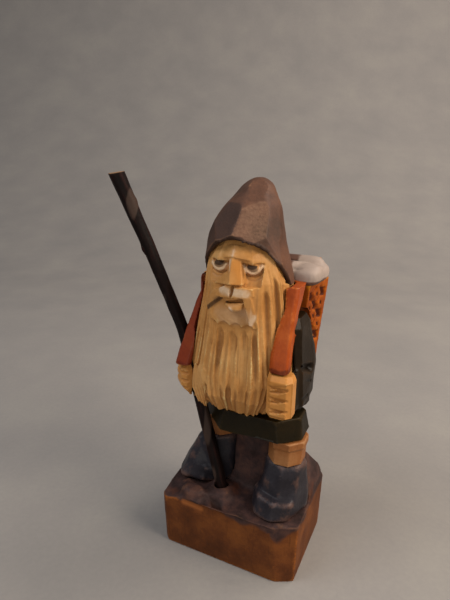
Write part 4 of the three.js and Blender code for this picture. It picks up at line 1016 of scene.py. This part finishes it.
def hand(side):
    wood = Carving(side + "_hand")
    wood.surface(grid=0.26, rounding=3)
    if side == "left":
        x, z = wood.v[:, 0], wood.v[:, 2]
        front = fade(wood.n[:, 1], -0.4, -0.7)
        below_thumb = fade(z - 74.6 - 0.23 * (x - 17.8), 0.3, -0.3)
        wood.move(-0.3 * front * below_thumb)
        along, across = (0.972, 0, 0.235), (-0.235, 0, 0.972)
        # Cuts between the fingers: middle, height and half length
        for middle, height, half in ((16.9, 72.2, 3.6), (16.5, 68.7, 3.3), (16.5, 65.1, 3.1)):
            lens = lozenge(wood.v, (middle, -16.0, height), along, across, half, 0.85)
            wood.mark("groove", fade(lens, 0.1, 0.5))
            wood.move(-0.9 * np.sqrt(lens))
    else:
        knuckles = [(-16.8, -10.8, 0), (-20.6, -11.0, 0.1), (-24.4, -7.2, 0.3), (-24.5, -4, 0.2)]
        for height in (62.7, 65.6, 68.6):
            wood.score([(x, y, height + z) for x, y, z in knuckles], half_width=0.7, depth=0.5)
    # A warmer tone over the whole hand
    wood.mark("warm", np.full(len(wood.v), 0.7))
    wood.finish("bare_wood", keep=0.6)


# Straps

def strap(side):
    wood = Carving(side + "_strap")
    wood.surface(grid=0.35, rounding=3)
    seed, end = (61, 78.7) if side == "left" else (62, 72.6)
    wood.knife(seed=seed, spacing=6, tilt=0.05, sag=0.004)
    # Dark line of painted shade along the strap's lower end, above the hand
    wood.mark("groove", fade(wood.v[:, 2] + 0.3 * np.sin(wood.v[:, 0] * 1.6), end + 0.7, end))
    # Painted shade over the whole right strap
    if side == "right":
        wood.masks["far"] = np.ones(len(wood.v))
    wood.finish("strap_red", keep=0.5)


# Basket and bundle

WEAVE_PITCH = 8.1


def weave_marks(wood, spot, along, span, heights):
    """Dark chips on one wall: large where its crossed cuts meet, small in the lozenges between.

    spot gives the wall's point at a place along it and a height.
    """
    large, small = (3.3, 2.0), (1.7, 0.8)
    up = np.array((0, 0, 1.0))
    along = np.array(along, float)
    fall = math.sqrt(0.5) * (along - up)
    rise = math.sqrt(0.5) * (along + up)
    middle = (span[0] + span[1]) / 2
    first = heights[1] + span[1] - middle - WEAVE_PITCH / 2
    chips = np.zeros(len(wood.v))
    for i in range(-12, 24):
        for j in range(-12, 24):
            run = middle + (i - j) * WEAVE_PITCH / 4
            height = first - (i + j) * WEAVE_PITCH / 4
            on_wall = span[0] < run < span[1] and heights[0] < height < heights[1]
            if on_wall and (i + j) % 2 == 0:
                size = small if i % 2 else large
                chips = np.maximum(chips, lozenge(wood.v, spot(run, height), fall, rise, *size))
    wood.mark("chip", chips)
    wood.move(-0.45 * np.sqrt(chips))


def basket():
    wood = Carving("basket")
    wood.surface(grid=0.4, rounding=3)
    wood.knife(seed=71, spacing=9, tilt=0.03, sag=0.002)

    def side_spot(way):
        return lambda run, height: (
            way * (19.6 + (run - 4.3) * 0.186 - (101.9 - height) * 0.078), run, height)

    def back_spot(run, height):
        return run, 21.2, height

    heights = (62.9, 99.9)
    for way in (-1, 1):
        weave_marks(wood, side_spot(way), (0, 1, 0), (6.3, 16.8), heights)
    weave_marks(wood, back_spot, (1, 0, 0), (-14.7, 14.7), heights)
    for way in (-1, 1):
        corner = vee(wood.v, [(way * 22.0, 20.0, 102), (way * 18.8, 20.0, 61)], 2.4)
        wood.mark("post", fade(corner, 0.0, 0.6))
    rim = (wood.v[:, 2] > 103.6) & (wood.v[:, 1] < 19.6)
    wood.masks["cream"] = wood.blurred(rim, 2)
    wood.finish("basket_orange", keep=0.4)


def pillow(centre, halves):
    """Plump sack form: a ball drawn out and squared off a little."""
    points = []
    for level in np.linspace(-1, 1, 9):
        out = math.sqrt(max(0, 1 - level * level))
        for turn in np.linspace(0, 2 * math.pi, 17)[:-1]:
            way = np.array((out * math.cos(turn), out * math.sin(turn), level))
            points.append(np.array(centre) + np.array(halves) * np.sign(way) * np.abs(way) ** 0.75)
    return hull(*(tuple(p) for p in points))


# Sacks that stand out of the bundle: centre and half sizes
SACKS = (
    ((17.2, 8.8, 104.4), (5.4, 6.6, 3.5)), ((8.6, 8.2, 104.4), (6.6, 7.0, 3.0)),
    ((-11.8, 10.4, 104.4), (5.0, 6.6, 2.6)), ((18.6, 13.4, 104.2), (4.5, 5.0, 3.1)),
    ((11.6, 15.4, 106.6), (9.4, 3.2, 2.5)), ((-6.0, 13.6, 106.4), (9.0, 5.0, 2.4)),
)
SACK_SEAMS = (
    [(8.5, 3.6, 106.6), (13.6, 4.6, 107.0), (20.1, 5.7, 104.8)],
    [(3, 11.6, 108.2), (12, 12.0, 107.6), (20, 14, 105.8)],
    [(-15, 7.4, 106.8), (-7, 9.4, 108), (1, 15.6, 108.4)],
    [(-20, 12, 105.4), (-12, 14.4, 107.4)],
)


def bundle():
    wood = Carving("bundle")
    wood.add(*(pillow(centre, halves) for centre, halves in SACKS))
    wood.surface(grid=0.4, rounding=16)
    above_basket = fade(wood.v[:, 2], 102.6, 103.6)
    folds = ripple(wood.v * (1, 1.3, 0.6), 9, 81)
    wood.move((0.35 * folds - 0.15) * above_basket)
    for path in SACK_SEAMS:
        wood.score(path, half_width=1.1, depth=0.6)
    wood.masks["pale"] = fade(np.abs(wood.v[:, 0]), 11.5, 13.5) * above_basket
    wood.finish("bundle_grey", keep=0.5)


# Staff

STAFF_SIDES = 30
STAFF_STEP = 0.7
# Knots on the twig: way along it, turn and size
KNOTS = ((62, 2.4, 0.55), (78, 5.2, 0.35), (96, 0.9, 0.5), (112, 3.6, 0.4))
# Levels that close the top cut: size, and depth below its edge
TOP_LEVELS = ((0.9, -0.05), (0.55, 0.1), (0.2, 0.2))
FOOT_LEVELS = (0.2, 0.6)


def twig_line():
    """Points along the middle of the twig, from its foot up, and its radius at each."""
    foot = Vector((-5.74, -8.45, 25))
    grip = Vector((-22.5, -6.0, 83.6))
    top = grip + Vector((-19.8, -7.0, 52.6))
    middle = grip.lerp(top, 0.5) + Vector((0.3, 0, 0))
    axis = (grip - foot).normalized()
    corners = [foot - axis * 4.5, foot + axis * 4.5, grip, middle, top]
    radii = [1.7, 2.1, 2.1, 2.1, 2.6]
    path, thick = [], []
    for i in range(4):
        steps = max(2, round((corners[i + 1] - corners[i]).length / STAFF_STEP))
        for k in range(steps + (i == 3)):
            path.append(list(corners[i].lerp(corners[i + 1], k / steps)))
            thick.append(radii[i] + (radii[i + 1] - radii[i]) * k / steps)
    path = np.array(path)
    for _ in range(12):
        path[1:-1] = 0.5 * path[1:-1] + 0.25 * (path[:-2] + path[2:])
    return path, np.array(thick)


def bark_ridges(points, along, turn):
    """How far the bark stands out at each point: long ridges, roughness and knots."""
    ridges = 0.07 * np.sin(turn * 5 + 0.05 * along + 1.2 * np.sin(along / 9))
    ridges += 0.05 * np.sin(turn * 9 - along * 0.08)
    ridges += 0.05 * ripple(points * (1, 1, 0.25), 2.2, 91)
    for knot_at, knot_turn, size in KNOTS:
        gap = np.hypot((along - knot_at) / 2.2, 2.0 * np.sin((turn - knot_turn) / 2) * 2.0)
        ridges += size * np.clip(1 - gap, 0, 1)
    return ridges


def tube(levels, name):
    """Mesh through rings of points, closed at both ends, in metres."""
    bm = bmesh.new()
    grid = [[bm.verts.new(Vector(p) * MM) for p in level] for level in levels]
    for low, high in zip(grid, grid[1:]):
        for i in range(len(low)):
            bm.faces.new((low[i], low[i - 1], high[i - 1], high[i]))
    bm.faces.new(grid[0])
    bm.faces.new(grid[-1][::-1])
    bmesh.ops.recalc_face_normals(bm, faces=bm.faces)
    return mesh_of(bm, name)


def staff():
    path, thick = twig_line()
    runs = np.gradient(path, axis=0)
    runs /= np.linalg.norm(runs, axis=1)[:, None]
    first = np.cross(runs, (0, 1, 0))
    first /= np.linalg.norm(first, axis=1)[:, None]
    second = np.cross(runs, first)
    angle = np.arange(STAFF_SIDES) / STAFF_SIDES * 2 * math.pi
    rounds = np.cos(angle)[None, :, None] * first[:, None] + np.sin(angle)[None, :, None] * second[:, None]
    flat = (path[:, None] + rounds * thick[:, None, None]).reshape(-1, 3)
    along = np.repeat(np.arange(len(path)) * STAFF_STEP, STAFF_SIDES)
    ridges = bark_ridges(flat, along, np.tile(angle, len(path)))
    rings = (flat + rounds.reshape(-1, 3) * ridges[:, None]).reshape(len(path), STAFF_SIDES, 3)
    top_slope = np.array((0.3, 0.05, 0))
    for i, share in ((-1, 0.9), (-2, 0.45)):
        rings[i] -= ((rings[i] - path[i]) @ top_slope)[:, None] * runs[i] * share
    foot = [rings[0] * size + path[0] * (1 - size) for size in FOOT_LEVELS]
    top = [rings[-1] * size + path[-1] * (1 - size) - runs[-1] * depth for size, depth in TOP_LEVELS]
    levels = np.array(foot + list(rings) + top)
    mesh = tube(levels, "staff_carved")
    bark = np.zeros(levels.shape[:2])
    bark[len(foot):-len(top)] = ridges.reshape(len(path), STAFF_SIDES)
    cut = np.ones(levels.shape[:2])
    cut[len(foot):-len(top)] = 0
    cut[-len(top) - 1] = 0.5
    pith = np.zeros(levels.shape[:2])
    pith[-1] = 1
    lichen = ripple(levels.reshape(-1, 3) * (1, 1, 0.4), 7, 95) - 0.4
    fields = {
        "ridge": bark / 0.15, "hollow": -bark / 0.12, "groove": np.zeros_like(bark),
        "cut": cut, "pith": pith, "lichen": lichen}
    store_masks(mesh, {name: np.clip(field, 0, 1).ravel() for name, field in fields.items()})
    mesh.shade_smooth()
    obj = bpy.data.objects.new("staff_carved", mesh)
    bpy.context.scene.collection.objects.link(obj)
    placed(obj, "staff", "bark", TWIG)


base_block()
for side in ("left", "right"):
    shoe(side)
    stocking(side)
    sleeve(side)
    hand(side)
    strap(side)
coat()
head_and_beard()
cap()
basket()
bundle()
staff()

for dowel in ("left_leg_dowel", "right_leg_dowel", "neck_dowel", "lower_basket_dowel", "upper_basket_dowel"):
    paints = frame["nodes"][dowel].data.materials
    paints.clear()
    paints.append(PAINTS["dowel"])


# Stage, light and camera

# The camera: how far it stands round to the left, its pitch and tilt in degrees, then its place and lens
# in millimetres
CAMERA_TURN = 25.62
CAMERA_PITCH = 17.70
CAMERA_TILT = 0.52
CAMERA_PLACE = (59.43, -142.63, 144.39)
CAMERA_LENS = 28.8
# The sheet in metres: half width, front end, where it starts to rise, radius of the rise, top end
SHEET_HALF_WIDTH = 1.6
SHEET_FRONT = -1.2
SHEET_RISE = 0.35
SHEET_RADIUS = 0.6
SHEET_TOP = 1.3
SHEET_STEPS = 24
# Where the lamps point, in metres
AIM = (0, 0, 0.07)


def table_and_wall():
    """Pale sheet that lies flat under the figure and sweeps up behind it."""
    f = Finish("pale_sheet")
    cloud = f.noise(0.02, detail=4, shift=2)
    fleck = f.noise(0.5, detail=3, shift=8)
    colour = f.ramp(cloud * 0.7 + fleck * 0.3, (0.3, "8a8785"), (0.5, "918d8a"), (0.7, "98948f"))
    paint = f.done(colour, 0.6 + (fleck - 0.5) * 0.1, fleck, 0.1, 0.0)
    sweep = [(SHEET_FRONT, 0.0), (SHEET_RISE, 0.0)]
    for i in range(1, SHEET_STEPS + 1):
        angle = i / SHEET_STEPS * math.pi / 2
        rise = SHEET_RADIUS - SHEET_RADIUS * math.cos(angle)
        sweep.append((SHEET_RISE + SHEET_RADIUS * math.sin(angle), rise))
    sweep.append((SHEET_RISE + SHEET_RADIUS, SHEET_TOP))
    bm = bmesh.new()
    rows = [[bm.verts.new((x, y, z)) for x in (-SHEET_HALF_WIDTH, SHEET_HALF_WIDTH)] for y, z in sweep]
    for low, high in zip(rows, rows[1:]):
        bm.faces.new((low[0], low[1], high[1], high[0]))
    sheet = mesh_of(bm, "pale_sheet")
    sheet.materials.append(paint)
    sheet.shade_smooth()
    obj = bpy.data.objects.new("pale_sheet", sheet)
    obj.rotation_euler[2] = math.radians(CAMERA_TURN)
    bpy.context.scene.collection.objects.link(obj)


def lamp(name, place, size, power, colour, aim=AIM):
    """Round area lamp: place and size in metres, power in watts."""
    light = bpy.data.lights.new(name, "AREA")
    light.shape = "DISK"
    light.size = size
    light.energy = power
    light.color = colour
    obj = bpy.data.objects.new(name, light)
    obj.location = place
    obj.rotation_euler = (Vector(aim) - Vector(place)).to_track_quat("-Z", "Y").to_euler()
    bpy.context.scene.collection.objects.link(obj)


def camera():
    turn, pitch, tilt = (math.radians(d) for d in (CAMERA_TURN, CAMERA_PITCH, CAMERA_TILT))
    level = math.cos(pitch)
    back = Vector((math.sin(turn) * level, -math.cos(turn) * level, math.sin(pitch)))
    right = Vector((math.cos(turn), math.sin(turn), 0))
    up = back.cross(right)
    right, up = (
        right * math.cos(tilt) + up * math.sin(tilt),
        up * math.cos(tilt) - right * math.sin(tilt),
    )
    view = bpy.data.cameras.new("camera")
    view.lens = CAMERA_LENS
    view.sensor_width = 36
    view.clip_start = 0.005
    obj = bpy.data.objects.new("camera", view)
    facing = Matrix((right, up, back)).transposed().to_4x4()
    obj.matrix_world = Matrix.Translation(Vector(CAMERA_PLACE) * MM) @ facing
    bpy.context.scene.collection.objects.link(obj)
    bpy.context.scene.camera = obj


table_and_wall()
lamp("window", (0.58, -0.04, 0.50), size=0.40, power=4.3, colour=(1.0, 0.87, 0.72))
lamp("sky", (-0.40, -0.36, 0.75), size=0.6, power=2.9, colour=(0.95, 0.97, 1.0))
lamp("fill", (0.16, -0.62, 0.22), size=0.45, power=0.9, colour=(1.0, 0.95, 0.88))
lamp("back", (0.40, 0.40, 0.75), size=0.6, power=5.4, colour=(1.0, 0.88, 0.77), aim=(0.25, 0.7, 0.25))
camera()
world = bpy.data.worlds.new("room")
world.use_nodes = True
room_light = world.node_tree.nodes["Background"].inputs
room_light["Color"].default_value = (0.80, 0.84, 0.90, 1)
room_light["Strength"].default_value = 0.18
bpy.context.scene.world = world
bpy.context.scene.view_settings.view_transform = "Standard"
